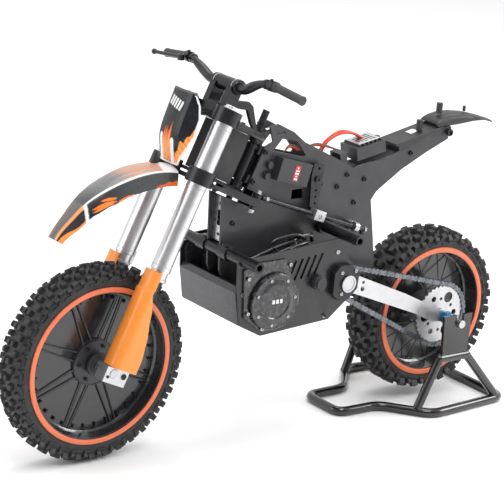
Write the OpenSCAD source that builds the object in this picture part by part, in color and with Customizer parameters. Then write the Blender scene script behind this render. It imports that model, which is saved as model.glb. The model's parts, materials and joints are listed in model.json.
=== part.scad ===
// One-to-four scale radio controlled motocross bike on its paddock stand.
// +X points forward, +Y to the bike's left, +Z up; the ground is z = 0.

/* [Wheels] */
// Distance between the two wheel axles
wheelbase = 375; // [360:1:390]
// Front tyre outer radius over the knobs
front_r = 88.3; // [84:0.1:92]
// Rear tyre outer radius over the knobs
rear_r = 80; // [76:0.1:82]
// Front tyre half width
front_hw = 15; // [12:0.5:17]
// Rear tyre half width
rear_hw = 20; // [16:0.5:22]
// Tread rows around the front tyre
front_rows = 36; // [24:1:44]
// Tread rows around the rear tyre
rear_rows = 30; // [20:1:36]
// Spokes on each side of a wheel
spokes = 16; // [8:1:20]

/* [Steering and fork] */
// Rake of the steering axis from vertical, degrees
rake = 24; // [20:0.5:28]
// Half distance between the fork legs
leg_y = 27; // [25:0.5:30]
// Distance from the steering axis forward to the fork legs
leg_p = 61; // [56:0.5:64]
// Outer fork tube radius
tube_r = 8.8; // [7:0.1:9.5]
// Inner fork rod radius
rod_r = 5; // [4:0.1:6]
// Half width across the handlebar
bar_hw = 98; // [90:1:110]

/* [Frame] */
// Outside face of each side plate from the centre
plate_y = 10; // [9:0.5:12]
// Side plate thickness
plate_t = 2; // [1.5:0.5:3]
// Half width of the belly tray
tray_hw = 41.5; // [38:0.5:44]
// Cover sheet thickness
cover_t = 1.6; // [1.2:0.2:2.4]
// Half width across the foot pegs
peg_hw = 65; // [58:1:70]

/* [Rear end] */
// Inside face of each swingarm plate from the centre
arm_y = 33.5; // [33:0.5:36]
// Chain line distance from the centre
chain_y = 28.5; // [28:0.1:29]
// Chain wheel pitch radius at the rear
rear_pitch_r = 29; // [24:0.5:31]
// Chain wheel pitch radius at the front
drive_pitch_r = 10.5; // [8:0.5:12]

/* [Stand] */
// Stand tube radius
stand_r = 4.3; // [3.5:0.1:5]
// Stand plate distance from the centre
stand_y = 57; // [55:0.5:60]

/* [Hidden] */
$fn = 48;
fx = wheelbase / 2 - 4.5;
fz = front_r;
rx = -wheelbase / 2 - 4.5;
rz = 88;
px = -54;
pz = 143;
ax0 = 37;
az0 = 250;
py = plate_y;
arm_a = atan2(pz - rz, px - rx);
arm_len = sqrt((px - rx) * (px - rx) + (pz - rz) * (pz - rz));

// Places children in the steering frame: x forward from the axis, z up along it.
module yoke() {
  translate([ax0, 0, az0]) rotate([0, -rake, 0]) children();
}

// Extrudes an outline drawn in x and z from y = y0 to y = y1.
module side(y0, y1) {
  translate([0, y1, 0]) rotate([90, 0, 0]) linear_extrude(y1 - y0) children();
}

// A cylinder along y from y0 to y1 at x and z.
module ycyl(x, z, y0, y1, r, n = 32) {
  translate([x, y1, z]) rotate([90, 0, 0]) cylinder(r = r, h = y1 - y0, $fn = n);
}

// A round bar between two points.
module bar(a, b, r, n = 24) {
  d = b - a;
  h = norm(d);
  translate(a)
    rotate([0, acos(d[2] / h), atan2(d[1], d[0])])
      cylinder(r = r, h = h, $fn = n);
}

// A bent round tube: bars joined by balls at the points.
module tube_path(pts, r) {
  for (i = [0 : len(pts) - 2]) bar(pts[i], pts[i + 1], r);
  for (i = [1 : len(pts) - 2]) translate(pts[i]) sphere(r = r + 0.06, $fn = 24);
}

// Copies children to both sides of the bike.
module both() {
  children();
  mirror([0, 1, 0]) children();
}

// ---------------------------------------------------------------- frame

module plate_outline() {
  polygon([
    [63, 174], [65.5, 226.5], [33.5, 212.3], [27.2, 224.7], [39, 230],
    [32, 246], [23, 266], [14, 270], [19, 284], [9, 285.5], [-9, 277],
    [-22, 267], [-64, 247], [-82, 238], [-118, 244], [-150, 254],
    [-172, 262], [-196, 262], [-196, 256], [-170, 245], [-141, 231],
    [-113, 213], [-107, 205], [-115, 165], [-119, 140], [-98, 130],
    [-74, 127], [-52, 126.5], [-40, 122], [20, 126], [54, 140], [62, 158]
  ]);
}

// Openings cut through both plates.
module plate_openings() {
  translate([-6, 242.5]) rotate(15.5) translate([-18, -10.6]) square([36, 21.2]);
  polygon([[12, 263], [4, 272], [-14, 268], [-24, 255], [-22, 253.5], [11, 261.5]]);
  translate([-25, 215]) square([13, 9]);
  translate([1, 276.5]) rotate(-8) square([9, 2]);
  translate([-35, 233]) circle(r = 6.4);
  translate([px, pz]) circle(r = 6.06);
  translate([61, 176]) circle(r = 5.1);
}

module left_plate() {
  color([0.07, 0.07, 0.075]) side(py - plate_t, py) difference() {
    plate_outline();
    plate_openings();
  }
}

module right_plate() {
  color([0.07, 0.07, 0.075]) side(-py, plate_t - py) difference() {
    plate_outline();
    plate_openings();
  }
}

module plate_spacers() {
  s = py - plate_t;
  color([0.1, 0.1, 0.1]) {
    for (q = [[52, 190], [-96, 226], [-75, 232], [-100, 175], [-20, 135], [-150, 246]])
      ycyl(q[0], q[1], -s, s, 3, 24);
    ycyl(30, 150, -s, s, 3, 24);
    difference() {
      translate([57, -s, 182]) cube([2, 2 * s, 40]);
      translate([56, -3, 196]) cube([4, 6, 14]);
      for (z = [188, 216]) translate([56, 0, z]) rotate([0, 90, 0]) cylinder(r = 1.6, h = 4, $fn = 16);
    }
  }
}

// The head tube is carried on a block between the plates.
module head_tube() {
  s = py - plate_t;
  color([0.06, 0.06, 0.065]) yoke() difference() {
    union() {
      translate([0, 0, -15]) cylinder(r = 5.4, h = 35);
      translate([-16, -s, -15]) cube([13, 2 * s, 8]);
      translate([-16, -s, 12]) cube([13, 2 * s, 8]);
      translate([-9, -4, -15]) cube([7, 8, 35]);
    }
    translate([0, 0, -16]) cylinder(r = 3.05, h = 37);
  }
}

// One cap screw standing on a plate: a head with a socket.
module screw(x, z, y, r = 2.4) {
  translate([x, y, z]) rotate([-90, 0, 0]) difference() {
    cylinder(r = r, h = 1.8, $fn = 24);
    translate([0, 0, 0.8]) cylinder(r = r * 0.5, h = 2, $fn = 6);
  }
}

module frame_screws() {
  spots = [[22, 261.5], [33.5, 236], [-96, 226], [-75, 232], [-64, 222], [-100, 175],
    [-86, 205], [-150, 246], [-44, 226], [52, 200]];
  color([0.12, 0.12, 0.12]) both() for (q = spots) screw(q[0], q[1], py);
}

// ---------------------------------------------------------------- belly

// The open box under the frame: floor, front wall and its lip.
module tray_outline() {
  polygon([[61, 116.5], [37, 104], [-40, 109], [-58, 123], [-57, 125], [-39.4, 110.8],
    [37, 105.8], [59.6, 117.6], [65, 146], [61, 149], [61, 151.5], [63, 151.5], [67, 147]]);
}

module tray_wall() {
  polygon([[64.5, 146], [59.6, 117.6], [37, 105.8], [20, 107], [30, 166], [61, 169], [63, 164],
    [61, 150]]);
}

module belly_tray() {
  color([0.05, 0.05, 0.055]) {
    side(-tray_hw, tray_hw) tray_outline();
    both() side(tray_hw - 2, tray_hw) tray_wall();
  }
}

module cover_outline() {
  polygon([[68, 175], [66.5, 148], [61, 117], [36.5, 104], [-40.5, 109], [-58, 123],
    [-68, 133], [-71, 149], [-56, 167], [-47, 185], [52, 177.5]]);
}

module vent_slots() {
  for (i = [0 : 5]) translate([14.5 - 7.4 * i, 158.8 + 0.9 * i]) rotate(22)
    square([2.6, 21], center = true);
}

// Clearance for the pivot and the two foot peg bars.
module cover_holes() {
  translate([px, pz]) circle(r = 6.06);
  translate([61, 176]) circle(r = 5.4);
  translate([-50, 187]) circle(r = 5);
}

module left_cover() {
  y0 = tray_hw + 0.1;
  color([0.09, 0.09, 0.095]) {
    side(y0, y0 + cover_t) difference() {
      cover_outline();
      vent_slots();
      cover_holes();
    }
    screw(60, 145, y0 + cover_t, 1.8);
    screw(-35, 113.5, y0 + cover_t, 1.8);
    ycyl(6.4, 117, y0 + cover_t, y0 + cover_t + 1, 3);
  }
}

module right_cover() {
  y0 = -tray_hw - 0.1;
  color([0.09, 0.09, 0.095]) {
    side(y0 - cover_t, y0) difference() {
      cover_outline();
      vent_slots();
      cover_holes();
    }
    mirror([0, 1, 0]) screw(60, 145, cover_t - y0, 1.8);
    mirror([0, 1, 0]) screw(-35, 113.5, cover_t - y0, 1.8);
  }
}

// The moulded engine shape screwed on the left cover.
module crankcase_cover() {
  y0 = tray_hw + 0.1 + cover_t;
  color([0.16, 0.16, 0.16]) {
    side(y0, y0 + 2) polygon([[62, 168], [58, 124], [37, 108], [20, 110], [4, 148],
      [16, 173], [48, 173]]);
    ycyl(28, 137, y0 + 2, y0 + 4.5, 23, 64);
    ycyl(28, 137, y0 + 4.5, y0 + 6.5, 14, 48);
    for (a = [20 : 51.43 : 370])
      ycyl(28 + 19 * cos(a), 137 + 19 * sin(a), y0 + 4.5, y0 + 6, 1.8, 16);
  }
}

module motor() {
  color([0.2, 0.2, 0.21]) {
    ycyl(4, 143, 10.5, 38, 17, 64);
    ycyl(4, 143, 38, 40, 5, 32);
  }
}

module battery() {
  color([0.12, 0.13, 0.16]) translate([-38, -38, 113]) cube([84, 27, 44]);
}

// ---------------------------------------------------------- electronics

module servo() {
  color([0.05, 0.05, 0.055]) {
    translate([-6, 0, 242.5]) rotate([0, -15.5, 0]) translate([-17.8, -6, -10.4])
      cube([35.6, 25.5, 20.8]);
    ycyl(-35, 233, -4, 13.7, 6, 32);
    translate([-34, -4, 229]) cube([16, 11, 9]);
    for (q = [[17, 250], [19.5, 240]]) ycyl(q[0], q[1], py, py + 4, 3.2, 24);
  }
}

module speed_controller() {
  color([0.06, 0.06, 0.065]) translate([-101, -12, 247.5]) rotate([0, 11, 0]) {
    translate([-17, 0, 0]) cube([34, 24, 12]);
    for (i = [0 : 5]) translate([-14 + 5 * i, 1, 12]) cube([2, 22, 2]);
    translate([25, 4.5, -6]) cube([8, 15, 16]);
    translate([16, 4.5, -6]) cube([18, 15, 2]);
  }
}

module tail_box() {
  w = 13;
  color([0.1, 0.1, 0.105]) side(-w, w) difference() {
    polygon([[-128.5, 256.5], [-181, 268.5], [-196, 268.5], [-196, 262.4], [-172, 262.4],
      [-150, 254.4], [-130, 248.2]]);
    translate([-133, 250.2]) rotate(-15) square([8, 4.6]);
  }
}

module rear_fender() {
  color([0.12, 0.12, 0.125]) {
    side(-13, 13) polygon([[-177, 268.4], [-181, 277], [-196, 279.5], [-222, 278],
      [-250, 270.5], [-243, 270.8], [-222, 275.5], [-200, 275.5], [-188, 272.5],
      [-186, 269.8], [-181.2, 268.8]]);
    both() translate([0, 10.5, 0]) side(0, 2.5) polygon([[-186, 270], [-188, 273], [-200, 276],
      [-222, 276], [-243, 271.2], [-204, 269.5], [-198, 268.8], [-186, 268.8]]);
    both() ycyl(-192, 263.4, 13.2, 17, 3.4, 24);
  }
}

module body_posts() {
  color([0.06, 0.06, 0.065]) {
    for (q = [[-163, 265.3, 4], [-188, 279.2, 2], [-222, 278.4, 0]])
      translate([q[0], q[2], q[1]]) cylinder(r = q[0] < -200 ? 1.5 : 3, h = q[0] < -200 ? 5 : 10, $fn = 24);
    translate([-123.3, -9, 246.4]) cylinder(r = 3, h = 14, $fn = 24);
  }
}

// --------------------------------------------------------------- pegs

module front_pegs() {
  color([0.07, 0.07, 0.075]) difference() {
    union() {
      ycyl(61, 176, -peg_hw, peg_hw, 5);
      ycyl(61, 176, py + 0.1, 22, 6.5);
      ycyl(61, 176, -22, -py - 0.1, 6.5);
      for (s = [-1, 1]) translate([61, 15 * s, 180]) cylinder(r = 3.2, h = 4, $fn = 24);
    }
    ycyl(61, 176, peg_hw - 10, peg_hw + 1, 3, 24);
    ycyl(61, 176, -peg_hw - 1, 10 - peg_hw, 3, 24);
  }
}

module rear_pegs() {
  color([0.07, 0.07, 0.075]) both() difference() {
    union() {
      ycyl(-50, 187, py, peg_hw, 4.6);
      ycyl(-50, 187, py, py + 6, 7);
    }
    ycyl(-50, 187, peg_hw - 9, peg_hw + 1, 2.8, 24);
  }
}

module pivot_blocks() {
  y0 = tray_hw + 0.1 + cover_t;
  color([0.08, 0.08, 0.085]) both() difference() {
    union() {
      side(y0, y0 + 6.5) polygon([[-38, 154], [-44, 160], [-58, 160], [-67, 150], [-66, 137],
        [-57, 128], [-46, 127], [-38, 134]]);
      ycyl(px, pz, y0 + 6.5, y0 + 8, 8, 40);
    }
    ycyl(px, pz, y0 - 1, y0 + 9, 6.05, 40);
  }
}

module chain_roller() {
  y0 = tray_hw + 0.1 + cover_t;
  color([0.06, 0.06, 0.065]) {
    ycyl(-22, 147, y0, y0 + 9, 5.5);
    ycyl(-22, 147, y0 + 2.5, y0 + 6.5, 6.8);
  }
}

// The cables lie bundled on the tray between the plate and the cover.
module cable_bundle() {
  color([0.05, 0.05, 0.055]) {
    tube_path([[45, 20, 168], [20, 24, 176], [-14, 24, 184], [-32, 20, 182]], 2.2);
    tube_path([[46, 30, 165], [20, 32, 172], [-14, 32, 178], [-30, 26, 170]], 2.2);
    translate([-2, 28, 179]) rotate([0, -12, 0]) cube([3, 14, 10], center = true);
  }
}

module servo_lead() {
  pts = [[2, 3, 257.8], [-6, 5, 265], [-20, 4, 262.5], [-62, 0, 256]];
  color([0.75, 0.15, 0.06]) {
    for (i = [0 : 2]) bar(pts[i], pts[i + 1], 1.5, 8);
    for (i = [1 : 2]) translate(pts[i]) sphere(r = 1.6, $fn = 8);
  }
}

module rod_guide() {
  color([0.6, 0.6, 0.62]) difference() {
    union() {
      translate([-83, py, 182]) cube([6, 8.5, 8]);
      translate([-80, 22, 185.7]) rotate([0, 70.92, 0]) cylinder(r = 4.6, h = 5, center = true);
    }
    translate([-80, 22, 185.7]) rotate([0, 70.92, 0]) cylinder(r = 2.06, h = 30, center = true);
  }
}

module shock_body() {
  a = 17.5;
  color([0.55, 0.55, 0.57]) translate([-77, 0, 150]) rotate([0, a, 0]) difference() {
    union() {
      translate([0, 0, 26]) cylinder(r = 5, h = 40);
      translate([0, 0, 66]) rotate([90, 0, 0]) cylinder(r = 5, h = 15.6, center = true, $fn = 32);
      for (i = [0 : 6]) translate([0, 0, 28 + 4.6 * i]) rotate_extrude() translate([5.9, 0]) circle(r = 1, $fn = 16);
    }
    translate([0, 0, 25]) cylinder(r = 3.2, h = 26);
    translate([0, 0, 66]) rotate([90, 0, 0]) cylinder(r = 2, h = 20, center = true, $fn = 24);
  }
}

// ------------------------------------------------------------ steering

// Clamp plate reaching from the legs back to the steering axis.
module clamp_plan(back) {
  difference() {
    polygon([[leg_p + 9, leg_y + 4], [leg_p + 9, -leg_y - 4], [leg_p - 6, -leg_y - 12],
      [leg_p - 14, -leg_y - 6], [back, -6], [back, 6], [leg_p - 14, leg_y + 6], [leg_p - 6, leg_y + 12]]);
    translate([leg_p, leg_y]) circle(r = tube_r);
    translate([leg_p, -leg_y]) circle(r = tube_r);
    translate([0, 0]) circle(r = 3.0);
    translate([leg_p - 22, -8]) square([14, 16]);
  }
}

module upper_clamp() {
  color([0.06, 0.06, 0.065]) yoke() {
    translate([0, 0, 24]) linear_extrude(6) clamp_plan(-6);
    both() translate([leg_p, leg_y, 23]) difference() {
      cylinder(r = tube_r + 3.4, h = 13);
      translate([0, 0, -1]) cylinder(r = tube_r, h = 15);
    }
    difference() {
      translate([0, 0, 20.5]) cylinder(r = 7, h = 12);
      translate([0, 0, 20]) cylinder(r = 3.0, h = 14);
    }
  }
}

module lower_clamp() {
  color([0.06, 0.06, 0.065]) yoke() {
    translate([0, 0, -31]) linear_extrude(4) clamp_plan(-6);
    translate([0, 0, -25]) linear_extrude(3) clamp_plan(-6);
    both() translate([leg_p, leg_y, -32.5]) difference() {
      cylinder(r = tube_r + 3.4, h = 13);
      translate([0, 0, -1]) cylinder(r = tube_r, h = 15);
    }
    difference() {
      translate([0, 0, -31]) cylinder(r = 7, h = 15.5);
      translate([0, 0, -32]) cylinder(r = 3.0, h = 17);
    }
    difference() {
      translate([0, 0, -31]) linear_extrude(7) polygon([[30, 12], [4, 7.5], [-6, 18.5],
        [-14, 18.5], [-14, 26], [0, 26], [30, 22]]);
      translate([-10, 22, -32]) cylinder(r = 1.5, h = 9, $fn = 24);
    }
    translate([leg_p + 9, -9, -31]) difference() {
      cube([3, 18, 12]);
      for (y = [4.5, 13.5]) translate([-1, y, 6]) rotate([0, 90, 0]) cylinder(r = 1.5, h = 5, $fn = 16);
    }
    translate([28, 1, -53]) rotate([90, 0, 0]) linear_extrude(2)
      polygon([[0, 22], [16, 22], [4, -2]]);
  }
}

// Steering shaft with its long threaded upper end.
module stem() {
  color([0.1, 0.1, 0.105]) yoke() {
    translate([0, 0, -33]) cylinder(r = 3.0, h = 80);
    for (i = [0 : 8]) translate([0, 0, 37 + 1.6 * i]) cylinder(r = 3.3, h = 0.8, $fn = 32);
    translate([0, 0, 32.6]) cylinder(r = 5.2, h = 3, $fn = 6);
    translate([0, 0, -35.6]) cylinder(r = 5.2, h = 2.6, $fn = 6);
    translate([-10, 22, -31.4]) cylinder(r = 1.5, h = 14, $fn = 24);
    translate([-10, 22, -34]) cylinder(r = 2.8, h = 3, $fn = 6);
    translate([-10, 22, -23.8]) cylinder(r = 4.2, h = 4.6, $fn = 32);
  }
}

module yoke_block() {
  color([0.07, 0.07, 0.08]) yoke() translate([14, -10, -21.6]) difference() {
    cube([38, 20, 45]);
    translate([8, -1, 8]) cube([22, 1.6, 28]);
  }
}

module fork_tubes() {
  color([0.8, 0.8, 0.82]) yoke() both() translate([leg_p, leg_y, 0]) difference() {
    union() {
      translate([0, 0, -112]) cylinder(r = tube_r, h = 146);
      translate([0, 0, -119]) cylinder(r = tube_r - 1, h = 8);
      translate([-11.5, -2, -119]) cube([6, 4, 12]);
      translate([0, 0, 34]) cylinder(r = 6.5, h = 3.5, $fn = 6);
    }
    translate([0, 0, -120]) cylinder(r = rod_r + 0.06, h = 130);
  }
}

module bar_mount() {
  color([0.08, 0.08, 0.085]) yoke() {
    both() difference() {
      translate([46, 8, 30.1]) cube([13, 7, 25]);
      translate([52.6, 7, 56.7]) rotate([-90, 0, 0]) cylinder(r = 6.6, h = 9, $fn = 48);
    }
    translate([44.6, -9, 30.1]) cube([16, 18, 8]);
    translate([0, 6, 0]) side(0, 4) polygon([[44.4, 40], [44.4, 46], [30, 50], [24, 48], [14, 36],
      [8.5, 30.4], [14, 30.4], [19, 34], [28, 43], [36, 41]]);
  }
}

bar_pts = [[61, 14, 322], [61.5, 24, 322.5], [62.5, 50, 333.5], [60, 60, 334.5], [57.5, bar_hw, 329.5]];

module handlebar() {
  color([0.08, 0.08, 0.085]) {
    yoke() translate([52.6, 17, 56.7]) rotate([90, 0, 0]) difference() {
      cylinder(r = 6.6, h = 34);
      translate([0, 0, 1]) difference() {
        cylinder(r = 8, h = 7);
        translate([0, 0, -1]) cylinder(r = 5, h = 9);
      }
      translate([0, 0, 26]) difference() {
        cylinder(r = 8, h = 7);
        translate([0, 0, -1]) cylinder(r = 5, h = 9);
      }
    }
    both() {
      for (i = [0 : 3]) bar(bar_pts[i], bar_pts[i + 1], 3.4, 12);
      for (i = [1 : 3]) translate(bar_pts[i]) sphere(r = 3.4, $fn = 12);
    }
    bar([60, -60.5, 332.5], [69, -60.5, 327.4], 1.5, 12);
    translate([69, -60.5, 326.4]) cylinder(r = 1.44, h = 11.1, $fn = 24);
  }
}

module grips() {
  color([0.05, 0.05, 0.05]) both() difference() {
    union() {
      bar([59.9, 62, 334.2], [57.4, bar_hw - 2, 329.7], 4.2);
      bar([59.9, 62, 334.2], [59.7, 65, 333.8], 5.8);
      bar([57.5, bar_hw - 4, 329.9], [57.4, bar_hw - 1, 329.6], 5.4);
    }
    bar([60, 60, 334.5], [57.5, bar_hw, 329.5], 3.5);
  }
}

module plate_profile() {
  polygon([[-10, 324], [-2, 302], [0.5, 280], [-2, 253], [-4, 253], [-1.5, 280], [-4, 302], [-12, 324]]);
}

// Number plate: a flat middle band and two swept wings.
module number_plate() {
  color([0.1, 0.1, 0.11]) intersection() {
    union() {
      translate([121, 0, 0]) side(-15, 15) plate_profile();
      both() translate([121, 14.4, 0]) rotate([0, 0, 48]) side(0, 16) plate_profile();
    }
    translate([60, 0, 0]) rotate([90, 0, 90]) linear_extrude(80)
      polygon([[-18, 317], [-13, 322], [13, 322], [18, 317], [21.8, 300], [21.8, 286], [13.5, 261],
        [12, 258.4], [-12, 258.4], [-13.5, 261], [-21.8, 286], [-21.8, 300]]);
  }
}

// Cross-section of the fender, radius first: crowned top, crease, side wall.
module fender_section() {
  polygon([[103, 0], [102.4, 8], [99.8, 14.4], [80, 18], [80, 16.2], [98.2, 13], [100.4, 7.4], [101, 0],
    [100.4, -7.4], [98.2, -13], [80, -16.2], [80, -18], [99.8, -14.4], [102.4, -8]]);
}

module front_fender() {
  color([0.09, 0.09, 0.1]) {
    intersection() {
      translate([138, 0, 156]) rotate([90, 0, 0]) rotate([0, 0, 27]) rotate_extrude(angle = 75, $fn = 96)
        fender_section();
      side(-20, 20) polygon([[100, 264], [100, 241.4], [118, 241.6], [145, 241.2], [158, 239],
        [171, 236.5], [187, 230.5], [197, 225], [206, 219], [215, 211.5], [226, 204.5],
        [236, 202], [246, 264]]);
    }
    translate([0, -3, 0]) side(0, 2) polygon([[127, 254.6], [135, 255.4], [130.5, 270.5]]);
  }
}

module brake_lever() {
  color([0.08, 0.08, 0.085]) {
    difference() {
      union() {
        translate([69, -60.5, 331.4]) cylinder(r = 3, h = 5.4, $fn = 24);
        bar([69.4, -62, 334], [72, -97, 331.5], 1.7, 20);
        translate([72, -97, 331.5]) sphere(r = 2.6, $fn = 24);
      }
      translate([69, -60.5, 330]) cylinder(r = 1.5, h = 9, $fn = 24);
    }
  }
}

// ------------------------------------------------------------ fork lower

module fork_rods() {
  color([0.06, 0.06, 0.065]) yoke() both() translate([leg_p, leg_y, -202.2])
    cylinder(r = rod_r, h = 151);
}

// Leg guards: a front shell and an outer cheek.
module fork_guards() {
  color([0.95, 0.45, 0.1]) yoke() both() translate([leg_p, leg_y, 0]) {
    translate([9.6, -6.5, -201]) cube([3.5, 15.7, 87]);
    translate([0, 9.2, 0]) side(0, 2.5) polygon([[-12, -201], [13.1, -201], [13.1, -114],
      [9.6, -114], [7, -125], [-2, -150], [-10, -178]]);
    translate([-9, -6, -202.1]) difference() {
      cube([22, 17.7, 4]);
      translate([9, 6, -1]) cylinder(r = rod_r, h = 6);
    }
  }
}

module axle_blocks() {
  color([0.85, 0.85, 0.87]) yoke() both() translate([leg_p, leg_y, 0]) difference() {
    translate([-9, -6, -216]) cube([24, 12.5, 13.8]);
    translate([6.6, 8, -207.1]) rotate([90, 0, 0]) cylinder(r = 4, h = 16, $fn = 32);
    translate([-5, 4, -207]) rotate([-90, 0, 0]) cylinder(r = 2, h = 4, $fn = 24);
  }
}

module front_axle() {
  color([0.75, 0.75, 0.77]) {
    ycyl(fx, fz, -leg_y - 7, leg_y + 7, 3.9);
    both() ycyl(fx, fz, 12.4, leg_y - 6.1, 5.6);
  }
}

// --------------------------------------------------------------- wheels

module tyre_ring(r, hw, bead) {
  rotate_extrude($fn = 96) polygon([[bead, -hw + 2], [bead + 5, -hw + 1], [r - 10, -hw + 1.6],
    [r - 6.5, -hw + 5], [r - 4.6, -hw * 0.4], [r - 4.2, 0], [r - 4.6, hw * 0.4], [r - 6.5, hw - 5],
    [r - 10, hw - 1.6], [bead + 5, hw - 1], [bead, hw - 2]]);
}

module tyre_knobs(r, hw, rows) {
  for (i = [0 : rows - 1]) rotate([0, 0, i * 360 / rows]) {
    if (i % 2 == 0) translate([r - 7, -3.2, -hw * 0.28]) cube([7, 6.4, hw * 0.56]);
    if (i % 2 == 1) for (s = [-1, 1]) translate([r - 7.6, -3, s * hw * 0.5 - hw * 0.16])
      cube([7, 6, hw * 0.34]);
    for (s = [-1, 1]) translate([r - 7.5, 0, s * (hw - 3.4)]) rotate([0, -s * 38, 0])
      translate([-4, -2.8, -1.8]) cube([7, 5.6, 3.6]);
  }
}

// A wheel lies with its axis along y at the named axle.
module at_front() {
  translate([fx, 0, fz]) rotate([-90, 0, 0]) children();
}

module at_rear() {
  translate([rx, 0, rz]) rotate([-90, 0, 0]) children();
}

module front_tyre() {
  color([0.05, 0.05, 0.05]) at_front() {
    tyre_ring(front_r, front_hw, 69);
    tyre_knobs(front_r, front_hw, front_rows);
  }
}

module rim_ring(bead, hw, deep) {
  rotate_extrude($fn = 96) polygon([[bead, -hw + 1.5], [bead, hw - 1.5], [bead - 4, hw - 1.5],
    [bead - deep, 5], [bead - deep - 2, 4], [bead - deep - 2, -4], [bead - deep, -5],
    [bead - 4, -hw + 1.5]]);
}

// Thin disc that closes the wheel between hub and rim.
module web(r1) {
  difference() {
    cylinder(r = r1, h = 1.6, center = true, $fn = 96);
    cylinder(r = 16, h = 4, center = true);
  }
}

module front_rim() {
  color([0.06, 0.06, 0.065]) at_front() {
    rim_ring(69, front_hw, 6);
    web(61.5);
  }
}

module hub(r, hw) {
  difference() {
    union() {
      cylinder(r = 8, h = 2 * hw, center = true);
      for (s = [-1, 1]) translate([0, 0, s * (hw - 2) - 1]) cylinder(r = r, h = 2);
      cylinder(r = 15.9, h = 1.6, center = true);
    }
    cylinder(r = 4, h = 2 * hw + 2, center = true, $fn = 32);
  }
}

// Spokes of both sides, from radius r0 at height z0 out to r1 at z1, swept by b degrees in pairs.
module spoke_set(r0, r1, z0, z1, b) {
  for (s = [-1, 1]) for (i = [0 : spokes - 1]) {
    a = (i + (s > 0 ? 0.5 : 0)) * 360 / spokes;
    c = a + (i % 2 == 0 ? b : -b);
    bar([r0 * cos(a), r0 * sin(a), s * z0], [r1 * cos(c), r1 * sin(c), s * z1], 0.6, 12);
  }
}

module front_spokes() {
  color([0.05, 0.05, 0.055]) at_front() {
    hub(11, 12);
    difference() {
      cylinder(r = 21, h = 6, center = true);
      cylinder(r = 30, h = 1.8, center = true);
      cylinder(r = 6, h = 8, center = true);
    }
    spoke_set(20.4, 61.6, 2.3, 2.3, 9);
    for (a = [0 : 60 : 359]) rotate([0, 0, a]) translate([16, 0, 2.8]) cylinder(r = 1.7, h = 1.6, $fn = 6);
  }
}

module ring_pair(r0, r1, z0, t) {
  for (s = [-1, 1]) translate([0, 0, s * (z0 + t / 2)]) difference() {
    cylinder(r = r1, h = t, center = true, $fn = 96);
    cylinder(r = r0, h = t + 2, center = true, $fn = 96);
  }
}

module front_rings() {
  color([0.95, 0.35, 0.12]) at_front() ring_pair(65.5, 70.8, front_hw - 1, 1);
}

module rear_tyre() {
  color([0.05, 0.05, 0.05]) at_rear() {
    tyre_ring(rear_r, rear_hw, 62);
    tyre_knobs(rear_r, rear_hw, rear_rows);
  }
}

module rear_rim() {
  color([0.06, 0.06, 0.065]) at_rear() {
    rim_ring(62, rear_hw, 6);
    web(54.4);
  }
}

module rear_spokes() {
  color([0.05, 0.05, 0.055]) at_rear() {
    hub(15, 22);
    spoke_set(13, 55, 19.6, 3, 20);
    translate([0, 0, 22]) difference() {
      cylinder(r = 13, h = chain_y - 23.1);
      translate([0, 0, -1]) cylinder(r = 4, h = 10, $fn = 32);
    }
  }
}

module rear_rings() {
  color([0.95, 0.35, 0.12]) at_rear() ring_pair(57.4, 63.8, rear_hw - 1, 1);
}

// ------------------------------------------------------- drive and rear

module toothed(r, n, t) {
  difference() {
    cylinder(r = r, h = t, center = true);
    for (i = [0 : n - 1]) rotate([0, 0, i * 360 / n]) translate([r, 0, 0])
      cylinder(r = 1.5, h = t + 2, center = true, $fn = 12);
  }
}

module rear_sprocket() {
  color([0.82, 0.82, 0.84]) at_rear() translate([0, 0, chain_y]) difference() {
    toothed(rear_pitch_r, 36, 2);
    cylinder(r = 5, h = 6, center = true);
    for (i = [0 : 5]) rotate([0, 0, i * 60]) translate([18.5, 0, 0])
      cylinder(r = i % 2 == 0 ? 5.2 : 2.8, h = 6, center = true);
    for (i = [0 : 5]) rotate([0, 0, i * 60 + 30]) translate([15.5, 0, 0])
      cylinder(r = 1.6, h = 6, center = true, $fn = 16);
  }
}

module drive_sprocket() {
  color([0.7, 0.7, 0.72]) translate([px, 0, pz]) rotate([-90, 0, 0]) translate([0, 0, chain_y])
    difference() {
      toothed(drive_pitch_r, 13, 2);
      cylinder(r = 6.06, h = 6, center = true);
    }
}

// The chain lies as one loop around both chain wheels.
module chain_loop(o) {
  r0 = rear_pitch_r + o;
  r1 = drive_pitch_r + o;
  k = asin((r0 - r1) / arm_len);
  polygon(concat(
    [for (i = [0 : 24]) let (a = 90 - k + i * (180 + 2 * k) / 24) [r0 * cos(a), r0 * sin(a)]],
    [for (i = [0 : 12]) let (a = k - 90 + i * (180 - 2 * k) / 12) [arm_len + r1 * cos(a), r1 * sin(a)]]));
}

module chain() {
  color([0.25, 0.26, 0.28]) translate([rx, chain_y + 2.4, rz]) rotate([90, 0, 0]) rotate([0, 0, arm_a])
    linear_extrude(4.8) difference() {
      chain_loop(2.6);
      chain_loop(0.5);
    }
}

module arm_outline() {
  polygon([[6, -6], [14, -8.5], [40, -6.5], [arm_len - 30, -7.5], [arm_len - 4, -8.5], [arm_len, 9],
    [arm_len - 20, 9], [60, 8], [10, 5], [-12, 3], [-14, 0], [-8, -5]]);
  translate([arm_len, 0]) circle(r = 9);
}

module swingarm() {
  color([0.8, 0.8, 0.82]) both() translate([rx, arm_y + 3.5, rz]) rotate([90, 0, 0])
    rotate([0, 0, arm_a]) linear_extrude(3.5) difference() {
      arm_outline();
      translate([118, 5]) circle(r = 1.6, $fn = 24);
      translate([116, -1]) circle(r = 2.4, $fn = 24);
      circle(r = 3.9, $fn = 32);
      translate([arm_len, 0]) circle(r = 6);
    }
}

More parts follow.
